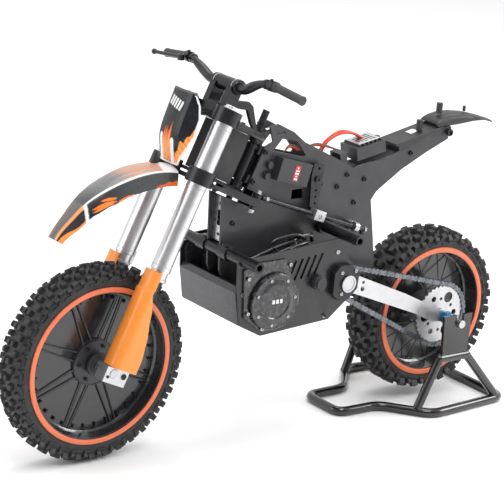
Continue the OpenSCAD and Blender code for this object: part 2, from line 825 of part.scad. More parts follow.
// The pivot shaft turns in the plates and carries the shock lever.
module pivot_shaft() {
  color([0.7, 0.7, 0.72]) {
    ycyl(px, pz, -tray_hw - 10, tray_hw + 10, 6, 48);
    both() side(4.4, 7.4) polygon([[px, pz + 8], [-76, 154], [-80, 153], [-81, 149], [-78, 146],
      [px, pz - 8]]);
    ycyl(-77, 150, -7.4, 7.4, 1.5, 24);
  }
}

module rear_axle() {
  color([0.7, 0.7, 0.72]) {
    ycyl(rx, rz, -stand_y - 5, stand_y + 5, 3.9, 32);
    ycyl(rx, rz, chain_y + 1.4, arm_y - 0.1, 6);
    ycyl(rx, rz, 0.1 - arm_y, -22.4, 6);
  }
}

module axle_nuts() {
  color([0.15, 0.55, 0.85]) both() difference() {
    ycyl(rx, rz, arm_y + 3.6, arm_y + 8, 6.4, 6);
    ycyl(rx, rz, arm_y, arm_y + 9, 3.9);
  }
}

module shock_shaft() {
  color([0.75, 0.75, 0.77]) translate([-77, 0, 150]) rotate([0, 17.5, 0]) {
    translate([0, 0, 3]) cylinder(r = 2, h = 35);
    rotate([90, 0, 0]) difference() {
      cylinder(r = 4, h = 8, center = true, $fn = 32);
      cylinder(r = 1.56, h = 9, center = true, $fn = 24);
    }
  }
}

module servo_arm() {
  color([0.09, 0.09, 0.095]) {
    difference() {
      side(14, 16.4) polygon([[-42, 246], [-30, 248], [-28, 238], [-29, 203], [-33, 200], [-38, 203],
        [-41, 232]]);
      for (z = [211, 217, 223]) ycyl(-34.5, z, 13, 18, 1.1, 16);
      ycyl(-36, 243, 13, 18, 1.4, 16);
    }
    screw(-35, 233, 16.4, 3);
  }
}

module push_rod() {
  color([0.12, 0.12, 0.13]) {
    bar([-93, 22, 181.2], [31, 22, 224.1], 2, 24);
    translate([-34, 22, 201.6]) rotate([0, -19.1, 0]) cube([12, 9, 9], center = true);
    ycyl(-34, 203, 16.8, 18, 2, 24);
  }
}

// ---------------------------------------------------------------- stand

// Corner points of one side of the base loop, front to back.
stand_side = [[-82, 24, stand_r], [-128, 25, stand_r], [-163, 66, stand_r], [-258, 60, stand_r]];

module stand() {
  r = stand_r;
  n = 12;
  color([0.04, 0.04, 0.045]) {
    bar([-82, -24, r], [-82, 24, r], r, n);
    bar([-258, -60, r], [-258, 60, r], r, n);
    both() {
      for (i = [0 : 2]) bar(stand_side[i], stand_side[i + 1], r, n);
      for (q = stand_side) translate(q) rotate([0, 0, 15]) sphere(r = r, $fn = 12);
    }
  }
}

module stand_uprights() {
  color([0.05, 0.05, 0.055]) both() {
    bar([-153, 54, 7], [-172, stand_y, 55], stand_r);
    bar([-172, stand_y, 55], [-206, stand_y, 55], stand_r);
    bar([-206, stand_y, 55], [-249, 60, 7], stand_r);
    for (x = [-172, -206]) translate([x, stand_y, 55]) sphere(r = stand_r + 0.02, $fn = 24);
    difference() {
      side(stand_y - 1.5, stand_y + 1.5)
        polygon([[-174, 57], [-171.5, 97], [-187.5, 97], [-187.6, 88], [-196.4, 88],
          [-196.5, 97], [-207, 97], [-205, 57]]);
      ycyl(rx, rz, stand_y - 3, stand_y + 3, 4.3, 40);
    }
  }
}

left_plate();
right_plate();
plate_spacers();
head_tube();
frame_screws();
belly_tray();
left_cover();
right_cover();
crankcase_cover();
motor();
battery();
servo();
speed_controller();
tail_box();
rear_fender();
body_posts();
front_pegs();
rear_pegs();
pivot_blocks();
chain_roller();
cable_bundle();
servo_lead();
rod_guide();
shock_body();
upper_clamp();
lower_clamp();
stem();
yoke_block();
fork_tubes();
bar_mount();
handlebar();
grips();
number_plate();
front_fender();
brake_lever();
fork_rods();
fork_guards();
axle_blocks();
front_axle();
front_tyre();
front_rim();
front_spokes();
front_rings();
servo_arm();
push_rod();
swingarm();
chain();
pivot_shaft();
rear_axle();
axle_nuts();
rear_tyre();
rear_rim();
rear_spokes();
rear_rings();
rear_sprocket();
drive_sprocket();
shock_shaft();
stand();
stand_uprights();
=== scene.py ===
"""Radio controlled motocross bike on its paddock stand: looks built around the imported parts."""
import json
import math

import bmesh
import bpy
from mathutils import Matrix, Vector


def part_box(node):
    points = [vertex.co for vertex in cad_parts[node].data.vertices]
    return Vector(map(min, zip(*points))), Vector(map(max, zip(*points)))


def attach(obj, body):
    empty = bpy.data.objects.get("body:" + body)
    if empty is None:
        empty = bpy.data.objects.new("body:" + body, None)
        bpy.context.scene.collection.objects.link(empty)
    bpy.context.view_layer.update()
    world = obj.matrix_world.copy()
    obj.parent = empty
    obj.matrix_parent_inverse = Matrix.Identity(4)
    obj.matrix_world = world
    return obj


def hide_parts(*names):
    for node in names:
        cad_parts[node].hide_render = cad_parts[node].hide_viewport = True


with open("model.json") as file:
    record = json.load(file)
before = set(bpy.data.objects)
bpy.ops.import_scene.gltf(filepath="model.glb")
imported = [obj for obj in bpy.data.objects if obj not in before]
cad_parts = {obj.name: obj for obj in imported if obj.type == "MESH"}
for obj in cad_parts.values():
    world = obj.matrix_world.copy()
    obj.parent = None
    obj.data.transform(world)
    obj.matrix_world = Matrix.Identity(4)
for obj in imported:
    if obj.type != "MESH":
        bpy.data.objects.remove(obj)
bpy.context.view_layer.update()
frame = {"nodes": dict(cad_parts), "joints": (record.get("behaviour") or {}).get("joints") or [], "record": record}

# Shapes are worked out in millimetres, and finish_mesh scales them to the frame's metres.
MM = 0.001
NODES = frame["nodes"]
RECORD = frame["record"]
SLOT_OF = {s["node"]: s["material_slot"] for s in RECORD["subparts"]}
BODY_OF = {n: b for b, ns in RECORD["behaviour"]["bodies"].items() for n in ns}
PLACE = {j["name"]: Vector(j["pos_m"]) / MM for j in frame["joints"] if "pos_m" in j}
FRONT = PLACE["front_wheel_spin"]
REAR = PLACE["rear_wheel_spin"]
PIVOT = PLACE["swingarm_pivot"]
HEAD = PLACE["steering"]
LEFT = Vector((0, 1, 0))

# The steering frame: a fork leg stands LEG_P ahead of the steering axis and LEG_Y to its side.
RAKE = math.radians(24)
LEG_Y, LEG_P = 27.0, 61.0
AHEAD = Vector((math.cos(RAKE), 0, math.sin(RAKE)))
ALONG = Vector((-math.sin(RAKE), 0, math.cos(RAKE)))


def yoke(p, y, q):
    """A point of the steering frame: p ahead of the axis, y to the left, q up along it (mm)."""
    return HEAD + AHEAD * p + ALONG * q + Vector((0, y, 0))


def smooth(a, b, x):
    """An eased step from 0 at a to 1 at b."""
    t = min(max((x - a) / (b - a), 0.0), 1.0)
    return t * t * (3 - 2 * t)


def spoke(angle):
    """A unit vector in the bike's middle plane, turned up from straight ahead."""
    return Vector((math.cos(angle), 0, math.sin(angle)))


def lookup(table, x):
    """Straight-line reading of (x, value) pairs in rising x."""
    for (a, va), (b, vb) in zip(table, table[1:]):
        if x <= b:
            return va + (vb - va) * (x - a) / (b - a)
    return table[-1][1]


# ------------------------------------------------------------------ materials

def tree(name):
    """A material with a bare surface shader, and its node tree."""
    m = bpy.data.materials.new(name)
    m.use_nodes = True
    nt = m.node_tree
    nt.nodes.clear()
    out = nt.nodes.new("ShaderNodeOutputMaterial")
    bsdf = nt.nodes.new("ShaderNodeBsdfPrincipled")
    nt.links.new(bsdf.outputs[0], out.inputs[0])
    return m, nt, bsdf


def coords(nt, stretch=(1, 1, 1)):
    """The object's own coordinates, stretched for brushed or drawn faces."""
    tc = nt.nodes.new("ShaderNodeTexCoord")
    mp = nt.nodes.new("ShaderNodeMapping")
    mp.inputs["Scale"].default_value = stretch
    nt.links.new(tc.outputs["Object"], mp.inputs["Vector"])
    return mp.outputs["Vector"]


def noise(nt, vector, scale, detail=4.0, rough=0.55):
    """Cloudy noise; scale is in cells to the metre."""
    n = nt.nodes.new("ShaderNodeTexNoise")
    n.inputs["Scale"].default_value = scale
    n.inputs["Detail"].default_value = detail
    n.inputs["Roughness"].default_value = rough
    nt.links.new(vector, n.inputs["Vector"])
    return n.outputs["Fac"]


def spread(nt, value, low, high, from_low=0.3, from_high=0.7):
    """Maps a noise value to low..high."""
    r = nt.nodes.new("ShaderNodeMapRange")
    r.inputs["From Min"].default_value = from_low
    r.inputs["From Max"].default_value = from_high
    r.inputs["To Min"].default_value = low
    r.inputs["To Max"].default_value = high
    nt.links.new(value, r.inputs["Value"])
    return r.outputs["Result"]


def blend_colors(nt, fac, a, b):
    """Mixes two colours, each a tuple or another node's output."""
    mix = nt.nodes.new("ShaderNodeMix")
    mix.data_type = "RGBA"
    for socket, c in ((mix.inputs[6], a), (mix.inputs[7], b)):
        if isinstance(c, tuple):
            socket.default_value = (*c, 1.0)
        else:
            nt.links.new(c, socket)
    nt.links.new(fac, mix.inputs[0])
    return mix.outputs[2]


def bump(nt, bsdf, height, strength, distance):
    """Fine relief on the surface shader."""
    b = nt.nodes.new("ShaderNodeBump")
    b.inputs["Strength"].default_value = strength
    b.inputs["Distance"].default_value = distance
    nt.links.new(height, b.inputs["Height"])
    nt.links.new(b.outputs["Normal"], bsdf.inputs["Normal"])


def surface(name, color, rough, metal=0.0, coat=0.0, shade=0.15, patch=45.0, grain=1500.0,
            relief=0.08, depth=0.0002, rough_spread=0.08, stretch=(1, 1, 1), dust=0.0):
    """A general finish: patchy colour, uneven gloss, fine grain and a little dust in the low tones."""
    m, nt, bsdf = tree(name)
    v = coords(nt, stretch)
    dark = tuple(c * (1 - shade) for c in color)
    light = tuple(min(c * (1 + shade) + 0.004 * shade, 1.0) for c in color)
    base = blend_colors(nt, spread(nt, noise(nt, v, patch), 0.0, 1.0), dark, light)
    if dust:
        fac = spread(nt, noise(nt, v, patch * 4, 8.0, 0.7), 0.0, dust, 0.5, 0.8)
        base = blend_colors(nt, fac, base, (0.42, 0.40, 0.38))
    nt.links.new(base, bsdf.inputs["Base Color"])
    gloss = spread(nt, noise(nt, v, patch * 3, 6.0), max(rough - rough_spread, 0.02), rough + rough_spread)
    nt.links.new(gloss, bsdf.inputs["Roughness"])
    bsdf.inputs["Metallic"].default_value = metal
    bsdf.inputs["Coat Weight"].default_value = coat
    bsdf.inputs["Coat Roughness"].default_value = 0.12
    bump(nt, bsdf, noise(nt, v, grain, 3.0), relief, depth)
    return m


def painted(name, rough, coat):
    """Printed plastic: the colour is the mesh's own paint attribute, under a clear coat."""
    m, nt, bsdf = tree(name)
    v = coords(nt)
    at = nt.nodes.new("ShaderNodeAttribute")
    at.attribute_name = "paint"
    fac = spread(nt, noise(nt, v, 120.0, 6.0), 0.0, 0.10)
    nt.links.new(blend_colors(nt, fac, at.outputs["Color"], (0.10, 0.10, 0.105)), bsdf.inputs["Base Color"])
    bsdf.inputs["Specular IOR Level"].default_value = 0.3
    nt.links.new(spread(nt, noise(nt, v, 300.0), rough - 0.06, rough + 0.08), bsdf.inputs["Roughness"])
    bsdf.inputs["Coat Weight"].default_value = coat
    bsdf.inputs["Coat Roughness"].default_value = 0.08
    bump(nt, bsdf, noise(nt, v, 700.0, 2.0), 0.04, 0.0002)
    return m


def speckled(name):
    """Polished dark casting with a hammered, wet-looking face."""
    m, nt, bsdf = tree(name)
    v = coords(nt)
    cells = nt.nodes.new("ShaderNodeTexVoronoi")
    cells.inputs["Scale"].default_value = 330.0
    cells.inputs["Randomness"].default_value = 1.0
    nt.links.new(v, cells.inputs["Vector"])
    fac = spread(nt, noise(nt, v, 260.0, 8.0, 0.75), 0.0, 1.0, 0.5, 0.68)
    nt.links.new(blend_colors(nt, fac, (0.018, 0.018, 0.02), (0.11, 0.11, 0.115)), bsdf.inputs["Base Color"])
    nt.links.new(spread(nt, noise(nt, v, 500.0), 0.12, 0.34), bsdf.inputs["Roughness"])
    bsdf.inputs["Metallic"].default_value = 0.35
    bsdf.inputs["Coat Weight"].default_value = 0.6
    bsdf.inputs["Coat Roughness"].default_value = 0.05
    bump(nt, bsdf, cells.outputs["Distance"], 0.35, 0.0006)
    return m


# Makes the noise long and narrow on drawn tubes.
DRAWN_UP = (1.0, 1.0, 0.12)
M = {
    "plate_black": surface("anodised_plate", (0.040, 0.040, 0.043), 0.40, 0.25, 0.15, grain=2400,
                           relief=0.12),
    "cover_black": surface("formed_cover", (0.014, 0.014, 0.016), 0.34, 0.0, 0.12, relief=0.05, patch=20),
    "tray_grey": surface("smoked_tray", (0.036, 0.034, 0.041), 0.26, 0.0, 0.25, relief=0.04, patch=15),
    "plastic_black": surface("moulded_plastic", (0.022, 0.022, 0.024), 0.46, relief=0.22, dust=0.03),
    "clamp_black": surface("anodised_clamp", (0.020, 0.020, 0.023), 0.33, 0.5, 0.2, grain=2600),
    "silver": surface("milled_aluminium", (0.60, 0.60, 0.61), 0.40, 0.9, patch=60, shade=0.05, relief=0.05,
                      grain=3500),
    "tube_silver": surface("drawn_tube", (0.70, 0.70, 0.71), 0.34, 1.0, stretch=DRAWN_UP, patch=220,
                           shade=0.05, relief=0.015, rough_spread=0.04, depth=0.0001),
    "steel": surface("bright_steel", (0.52, 0.52, 0.54), 0.30, 0.95, patch=90, shade=0.08, relief=0.04),
    "steel_dark": surface("black_steel", (0.045, 0.045, 0.050), 0.30, 0.8, patch=200, shade=0.2),
    "motor_can": surface("motor_can", (0.10, 0.10, 0.11), 0.35, 0.7),
    "battery_wrap": surface("battery_wrap", (0.016, 0.017, 0.024), 0.35, relief=0.2),
    "servo_case": surface("servo_case", (0.035, 0.034, 0.038), 0.42, relief=0.15),
    "esc_case": surface("heat_sink", (0.055, 0.055, 0.060), 0.42, 0.4),
    "wire_red": surface("red_wire", (0.62, 0.05, 0.025), 0.42, relief=0.1),
    "wire_orange": surface("orange_wire", (0.80, 0.20, 0.05), 0.42, relief=0.1),
    "wire_brown": surface("brown_wire", (0.14, 0.05, 0.03), 0.42, relief=0.1),
    "cable_black": surface("black_cable", (0.010, 0.010, 0.012), 0.22, coat=0.5, relief=0.1),
    "guard_orange": surface("orange_guard", (0.84, 0.265, 0.035), 0.33, 0.0, 0.25, shade=0.05, relief=0.03,
                            patch=20),
    "grip_rubber": surface("grip_rubber", (0.028, 0.028, 0.030), 0.58, relief=0.3, dust=0.05),
    "tyre": surface("tyre_rubber", (0.017, 0.017, 0.019), 0.55, relief=0.35, grain=1100, shade=0.3,
                    dust=0.06),
    "rim_black": surface("rim_gloss", (0.016, 0.016, 0.018), 0.20, 0.0, 0.6, relief=0.03),
    "spoke_black": surface("spoke_dark", (0.050, 0.048, 0.053), 0.36, 0.25, relief=0.08),
    "ring_orange": surface("copper_ring", (0.74, 0.165, 0.065), 0.40, 0.0, 0.15, shade=0.07, relief=0.05),
    "chain_steel": surface("chain_plate", (0.16, 0.17, 0.19), 0.30, 0.9, patch=220, shade=0.3),
    "nut_blue": surface("blue_nut", (0.02, 0.20, 0.45), 0.28, 0.8, 0.2),
    "stand_black": surface("stand_gloss", (0.008, 0.008, 0.009), 0.16, 0.0, 0.6, relief=0.10, grain=500),
    "white": surface("white_print", (0.80, 0.80, 0.80), 0.40, shade=0.04, relief=0.03),
    "label_red": surface("red_print", (0.60, 0.03, 0.03), 0.40, shade=0.10, relief=0.03),
    "case_dark": speckled("polished_casting"),
    "fender_grey": painted("printed_fender", 0.30, 0.18),
    "plate_dark": painted("printed_plate", 0.28, 0.12),
}

# -------------------------------------------------------------------- meshes


def finish_mesh(name, bm, material, body, slot=None, replaces=(), angle=32, bevel=0.0, segments=2,
                thick=0.0):
    """Turns millimetre bmesh data into a piece on its body."""
    bmesh.ops.scale(bm, vec=(MM, MM, MM), verts=bm.verts)
    mesh = bpy.data.meshes.new(name)
    bm.to_mesh(mesh)
    bm.free()
    dress(bpy.data.objects.new(name, mesh), material, body, replaces, angle, bevel, segments, thick)


def dress(obj, material, body, replaces, angle=32, bevel=0.0, segments=2, thick=0.0):
    """Gives a new object its material, thickness, rounded edges, body and replaced nodes."""
    bpy.context.scene.collection.objects.link(obj)
    obj.data.materials.append(M[material])
    obj.data.shade_smooth()
    obj.data.set_sharp_from_angle(angle=math.radians(angle))
    if thick:
        wall = obj.modifiers.new("thickness", "SOLIDIFY")
        wall.thickness = thick * MM
        wall.offset = -1
    if bevel:
        edges = obj.modifiers.new("edges", "BEVEL")
        edges.width = bevel * MM
        edges.segments = segments
        edges.limit_method = "ANGLE"
        edges.angle_limit = math.radians(38)
        edges.use_clamp_overlap = True
        edges.harden_normals = True
    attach(obj, body)
    if replaces:
        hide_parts(*replaces)


def clean_copy(node):
    """A CAD node's own mesh with its doubled points joined."""
    bm = bmesh.new()
    bm.from_mesh(NODES[node].data)
    bmesh.ops.remove_doubles(bm, verts=bm.verts, dist=2e-6)
    return bm


def refine(node, bevel=0.3, material=None):
    """The CAD node's own shape, with its real edges rounded."""
    bm = clean_copy(node)
    bmesh.ops.dissolve_limit(bm, angle_limit=math.radians(0.6), verts=bm.verts, edges=bm.edges)
    mesh = bpy.data.meshes.new(node + "_shape")
    bm.to_mesh(mesh)
    bm.free()
    slot = SLOT_OF[node]
    dress(bpy.data.objects.new(node + "_finished", mesh), material or slot, BODY_OF[node], (node,),
          bevel=bevel)


def outward(bm):
    """Turns every face out."""
    bmesh.ops.recalc_face_normals(bm, faces=bm.faces)


def slab(bm, low, high):
    """A closed solid between two outlines with the same number of points."""
    a, b = ([bm.verts.new(p) for p in outline] for outline in (low, high))
    bm.faces.new(a)
    bm.faces.new(b[::-1])
    for k in range(len(a)):
        bm.faces.new([a[k - 1], b[k - 1], b[k], a[k]])


def stitch(bm, grid):
    """Faces between the rows of a grid of points."""
    for a, b in zip(grid, grid[1:]):
        for k in range(len(a) - 1):
            bm.faces.new([a[k], a[k + 1], b[k + 1], b[k]])


def lathe(bm, profile, centre, axis=LEFT, n=96, closed=False):
    """Revolves (radius, height) points about an axis through centre."""
    axis = axis.normalized()
    a = axis.orthogonal().normalized()
    b = axis.cross(a)
    rings = []
    for r, h in profile:
        if r < 1e-6:
            rings.append([bm.verts.new(centre + axis * h)])
            continue
        rings.append([bm.verts.new(centre + axis * h + a * (r * math.cos(t)) + b * (r * math.sin(t)))
                      for t in (2 * math.pi * k / n for k in range(n))])
    for p, q in zip(rings, rings[1:] + rings[:1] if closed else rings[1:]):
        for k in range(n):
            m = (k + 1) % n
            # A point on the axis stands for its whole ring, so repeated corners are dropped.
            corners = dict.fromkeys((p[k % len(p)], p[m % len(p)], q[m % len(q)], q[k % len(q)]))
            if len(corners) > 2:
                bm.faces.new(list(corners))


def tube(bm, pts, radius, n=16, loop=False):
    """A round tube through the points; radius is one number or one for each point."""
    pts = [Vector(p) for p in pts]
    count = len(pts)
    radii = radius if isinstance(radius, list) else [radius] * count
    rings, up = [], None
    for i, p in enumerate(pts):
        nxt = pts[(i + 1) % count] if loop or i < count - 1 else pts[i]
        prv = pts[i - 1] if loop or i > 0 else pts[i]
        d = (nxt - prv).normalized()
        if up is None:
            up = d.orthogonal().normalized()
        up = (up - d * up.dot(d)).normalized()
        side = d.cross(up)
        rings.append([bm.verts.new(p + up * (radii[i] * math.cos(t)) + side * (radii[i] * math.sin(t)))
                      for t in (2 * math.pi * k / n for k in range(n))])
    for i in range(count if loop else count - 1):
        a, b = rings[i], rings[(i + 1) % count]
        shift = 0
        if loop and i == count - 1:
            shift = min(range(n), key=lambda s: (a[0].co - b[s].co).length)
        for k in range(n):
            bm.faces.new([a[k], a[(k + 1) % n], b[(k + 1 + shift) % n], b[(k + shift) % n]])
    if not loop:
        for ring in (rings[0], rings[-1]):
            bm.faces.new(ring)


def curve_points(pts, steps=8):
    """Catmull-Rom through given points."""
    pts = [Vector(p) for p in pts]
    line = [pts[0] * 2 - pts[1]] + pts + [pts[-1] * 2 - pts[-2]]
    out = []
    for p0, p1, p2, p3 in zip(line, line[1:], line[2:], line[3:]):
        for t in (k / steps for k in range(steps)):
            out.append(0.5 * (2 * p1 + (p2 - p0) * t + (2 * p0 - 5 * p1 + 4 * p2 - p3) * t * t
                              + (3 * p1 - p0 - 3 * p2 + p3) * t ** 3))
    return out + [pts[-1]]


def round_corners(pts, r, steps=6, loop=False):
    """Straight runs joined by arcs of about r."""
    pts = [Vector(p) for p in pts]
    n = len(pts)
    out = []
    for i, p in enumerate(pts):
        if not loop and i in (0, n - 1):
            out.append(p)
            continue
        a, b = pts[i - 1] - p, pts[(i + 1) % n] - p
        d = min(r, a.length * 0.45, b.length * 0.45)
        s, e = p + a.normalized() * d, p + b.normalized() * d
        for k in range(steps + 1):
            t = k / steps
            out.append(s * (1 - t) ** 2 + p * (2 * t * (1 - t)) + e * t * t)
    return out


def block(bm, centre, size, axes, top=1.0):
    """A box of a given size on three axes; top shrinks its far (third axis) face."""
    v = []
    for sz in (-1, 1):
        k = top if sz > 0 else 1.0
        for sx, sy in ((-1, -1), (1, -1), (1, 1), (-1, 1)):
            v.append(bm.verts.new(Vector(centre) + axes[0] * (sx * size[0] / 2 * k)
                                  + axes[1] * (sy * size[1] / 2 * k) + axes[2] * (sz * size[2] / 2)))
    for f in ((3, 2, 1, 0), (4, 5, 6, 7), (0, 1, 5, 4), (1, 2, 6, 5), (2, 3, 7, 6), (3, 0, 4, 7)):
        bm.faces.new([v[i] for i in f])


def bolt(bm, place, out, r, h, washer=0.0):
    """A cap screw with a hexagon socket, standing on a face at place."""
    out = Vector(out)
    place = Vector(place)
    socket = 0.52 * r
    if washer:
        lathe(bm, [(0, -0.2), (washer, -0.2), (washer, 0.35), (washer - 0.15, 0.5), (0, 0.5)],
              place, out, 28)
    lathe(bm, [(0, -0.2), (r, -0.2), (r, h * 0.72), (r * 0.93, h * 0.93), (r * 0.84, h), (socket, h)],
          place, out, 28)
    lathe(bm, [(socket, h), (socket, h * 0.45), (0, h * 0.4)], place, out, 6)


def islands(node):
    """Boxes (low, high) in mm of the separate solids of a CAD node."""
    bm = clean_copy(node)
    seen, found = set(), []
    for v in bm.verts:
        if v in seen:
            continue
        stack, group = [v], []
        seen.add(v)
        while stack:
            w = stack.pop()
            group.append(w.co.copy())
            for e in w.link_edges:
                o = e.other_vert(w)
                if o not in seen:
                    seen.add(o)
                    stack.append(o)
        low = Vector([min(c[k] for c in group) for k in range(3)]) / MM
        high = Vector([max(c[k] for c in group) for k in range(3)]) / MM
        found.append((low, high))
    bm.free()
    return sorted(found, key=lambda b: tuple(round(x, 3) for x in b[0]))


# -------------------------------------------------------------------- wheels

def tyre(end, centre, r, hw, bead, rows, tall):
    """Knobby tyre: a round carcass, four columns of tapered blocks, shoulder lugs and sidewall ribs."""
    bm = bmesh.new()
    crown = r - tall
    side = [(bead, hw - 2.2), (bead + 1.5, hw - 1.2), (bead + 4, hw - 0.9), (bead + 7, hw - 1.0),
            (crown - 5.5, hw - 1.7), (crown - 2.8, hw - 3.6), (crown - 0.8, hw * 0.55), (crown, hw * 0.2)]
    profile = [(a, -b) for a, b in side] + [(crown + 0.1, 0)] + [(a, b) for a, b in reversed(side)]
    lathe(bm, profile + [(bead, 0)], centre, n=180, closed=True)

    def knob(phi, y, tilt, length, width, height, foot, skew):
        radial, forward = spoke(phi), spoke(phi + math.pi / 2)
        up = radial * math.cos(tilt) + LEFT * math.sin(tilt)
        across = up.cross(forward)
        forward, across = (forward * math.cos(skew) + across * math.sin(skew),
                           across * math.cos(skew) - forward * math.sin(skew))
        sunk = 1.2
        place = centre + radial * foot + LEFT * y + up * (height / 2 - sunk)
        block(bm, place, (length, width, height), (forward, across, up), top=0.80)

    # The knobs of one side in even and in odd rows: shift along the tread in rows, distance from the
    # middle, tilt, length in rows, width, height, radius of the foot, skew.
    even = ((0, hw * 0.19, 0.08, 0.74, hw * 0.30, tall + 1.2, crown - 0.05, 0.14),
            (0, hw - 3.4, 0.62, 0.80, hw * 0.25, tall + 0.6, crown - 2.6, 0.1),
            (0.5, hw - 1.3, 1.25, 1.25, 1.6, 2.6, crown - 8.0, 0))
    odd = ((0, hw * 0.46, 0.27, 0.76, hw * 0.32, tall + 1.0, crown - 0.7, -0.16),
           (0, hw - 2.6, 0.85, 0.66, hw * 0.22, tall - 0.2, crown - 4.2, -0.15),
           (0.15, hw - 1.2, 1.40, 0.36, 3.6, 2.3, crown - 6.8, 0))
    step = 2 * math.pi / rows
    for i in range(rows):
        for s in (-1, 1):
            for shift, y, tilt, length, width, height, foot, skew in odd if i % 2 else even:
                knob((i + shift) * step, s * y, s * tilt, length * step * r, width, height, foot, s * skew)
    for s in (-1, 1):
        for ring in (bead + 3.2, bead + 5.0):
            lathe(bm, [(ring - 0.35, s * (hw - 1.3)), (ring, s * (hw - 0.7)), (ring + 0.35, s * (hw - 1.3))],
                  centre, n=144)
    outward(bm)
    finish_mesh(end + "_knobby_tyre", bm, "tyre", end + "_wheel", "tyre", (end + "_tyre",), 34, bevel=0.28,
                segments=1)


tyre("front", FRONT, r=88.3, hw=15.0, bead=69.0, rows=74, tall=4.2)
tyre("rear", REAR, r=80.0, hw=20.0, bead=62.0, rows=54, tall=5.4)

for rim in ("front_rim", "rear_rim", "front_spokes", "rear_spokes"):
    refine(rim, 0.15)


def wheel_rings(end, centre, inner, outer, face):
    """Bright rings on both bead lips, slightly crowned, with a thin step at the inner edge."""
    bm = bmesh.new()
    for s in (-1, 1):
        lathe(bm, [(inner, s * (face - 1)), (inner, s * (face - 0.45)), (inner + 0.5, s * (face - 0.15)),
                   (inner + 1.6, s * face), (outer - 1.4, s * face), (outer - 0.3, s * (face - 0.25)),
                   (outer, s * (face - 1))], centre, n=180, closed=True)
    outward(bm)
    finish_mesh(end + "_lip_rings", bm, "ring_orange", end + "_wheel", "ring_orange", (end + "_rings",), 30)


wheel_rings("front", FRONT, inner=66.0, outer=70.6, face=15.0)
wheel_rings("rear", REAR, inner=58.6, outer=63.6, face=20.0)


def hub_details():
    """The front hub's screws, edge rings and axle collars, and the ring of spoke nipples."""
    bm = bmesh.new()
    for s in (-1, 1):
        for k in range(6):
            bolt(bm, FRONT + spoke(math.radians(60 * k)) * 16 + LEFT * (s * 4.3), LEFT * s, 1.5, 1.2)
        lathe(bm, [(20.9, s * 2.6), (20.9, s * 3.3), (19.6, s * 3.3), (19.4, s * 2.9)], FRONT, n=72)
        lathe(bm, [(8.0, s * 5), (9.6, s * 5), (9.6, s * 8.4), (8.0, s * 8.8)], FRONT, n=48)
    finish_mesh("front_hub_details", bm, "steel_dark", "front_wheel")
    bm = bmesh.new()
    count = 32
    for s in (-1, 1):
        middle = FRONT + LEFT * (s * 2.3)
        for k in range(count):
            out = spoke(2 * math.pi * (k + 0.5) / count)
            tube(bm, [middle + out * 60.0, middle + out * 56.8], 1.05, 8)
    finish_mesh("front_nipples", bm, "steel_dark", "front_wheel")


hub_details()


def chain():
    """Roller chain laid round both chain wheels in the swingarm's plane."""
    rear_r, drive_r, y, links = 30.1, 11.6, 28.5, 84
    reach = PIVOT - REAR
    span = math.hypot(reach.x, reach.z)
    turn = math.atan2(reach.z, reach.x)
    lean = math.asin((rear_r - drive_r) / span)
    top = math.pi / 2 - lean
    straight = math.sqrt(span ** 2 - (rear_r - drive_r) ** 2)
    rear_arc, drive_arc = rear_r * (math.pi + 2 * lean), drive_r * (math.pi - 2 * lean)
    total = 2 * straight + rear_arc + drive_arc
    drive = Vector((span, 0, 0))

    def at(s):
        """The place s mm along the pitch line: rear arc, lower run, drive arc, upper run."""
        if s < rear_arc:
            p = spoke(top + s / rear_r) * rear_r
        elif s < rear_arc + straight:
            p = (spoke(-top) * rear_r).lerp(drive + spoke(-top) * drive_r, (s - rear_arc) / straight)
        elif s < total - straight:
            p = drive + spoke((s - rear_arc - straight) / drive_r - top) * drive_r
        else:
            p = (spoke(top) * rear_r).lerp(drive + spoke(top) * drive_r, (total - s) / straight)
        return Vector((REAR.x + p.x * math.cos(turn) - p.z * math.sin(turn), y,
                       REAR.z + p.x * math.sin(turn) + p.z * math.cos(turn)))

    pins = [at(total * i / links) for i in range(links)]
    bm = bmesh.new()
    for i, p in enumerate(pins):
        q = pins[(i + 1) % links]
        d = (q - p).normalized()
        up = LEFT.cross(d)
        outline = []
        for end, start, waist in ((q, -math.pi / 2, 1.6), (p, math.pi / 2, -1.6)):
            for t in (start + math.pi * j / 6 for j in range(7)):
                outline.append(end + d * (2.5 * math.cos(t)) + up * (2.5 * math.sin(t)))
            outline.append((p + q) / 2 + up * waist)
        for s in (-1, 1):
            y0 = s * (1.35 if i % 2 else 1.95)
            slab(bm, *([v + LEFT * (y0 + h) for v in outline] for h in (-0.25, 0.25)))
        for r, h in ((1.0, 1.1), (0.95, 2.4)):
            lathe(bm, [(0, -h), (r, -h), (r, h), (0, h)], p, n=12)
    outward(bm)
    finish_mesh("roller_chain", bm, "chain_steel", "swingarm", "chain_steel", ("chain",))


chain()

# ------------------------------------------------------------- printed shells


def shell(name, rows, cols, point, paint, material, node, thick):
    """A sheet from point(u, v), coloured by paint(u, v): u runs from row to row, v along a row."""
    bm = bmesh.new()
    layer = bm.verts.layers.float_color.new("paint")
    grid = []
    for u in (i / rows for i in range(rows + 1)):
        line = []
        for v in (j / cols for j in range(cols + 1)):
            vert = bm.verts.new(point(u, v))
            vert[layer] = (*paint(u, v), 1.0)
            line.append(vert)
        grid.append(line)
    stitch(bm, grid)
    finish_mesh(name, bm, material, BODY_OF[node], SLOT_OF[node], (node,), 50, thick=thick)


BLACK = (0.020, 0.020, 0.022)
GREY = (0.055, 0.056, 0.060)
ORANGE = (0.93, 0.20, 0.025)
YELLOW = (0.95, 0.42, 0.10)
RED = (0.55, 0.03, 0.01)
WHITE = (0.82, 0.82, 0.82)


def mix(a, b, t):
    """The colour t of the way from a to b."""
    t = min(max(t, 0.0), 1.0)
    return tuple(x * (1 - t) + y * t for x, y in zip(a, b))


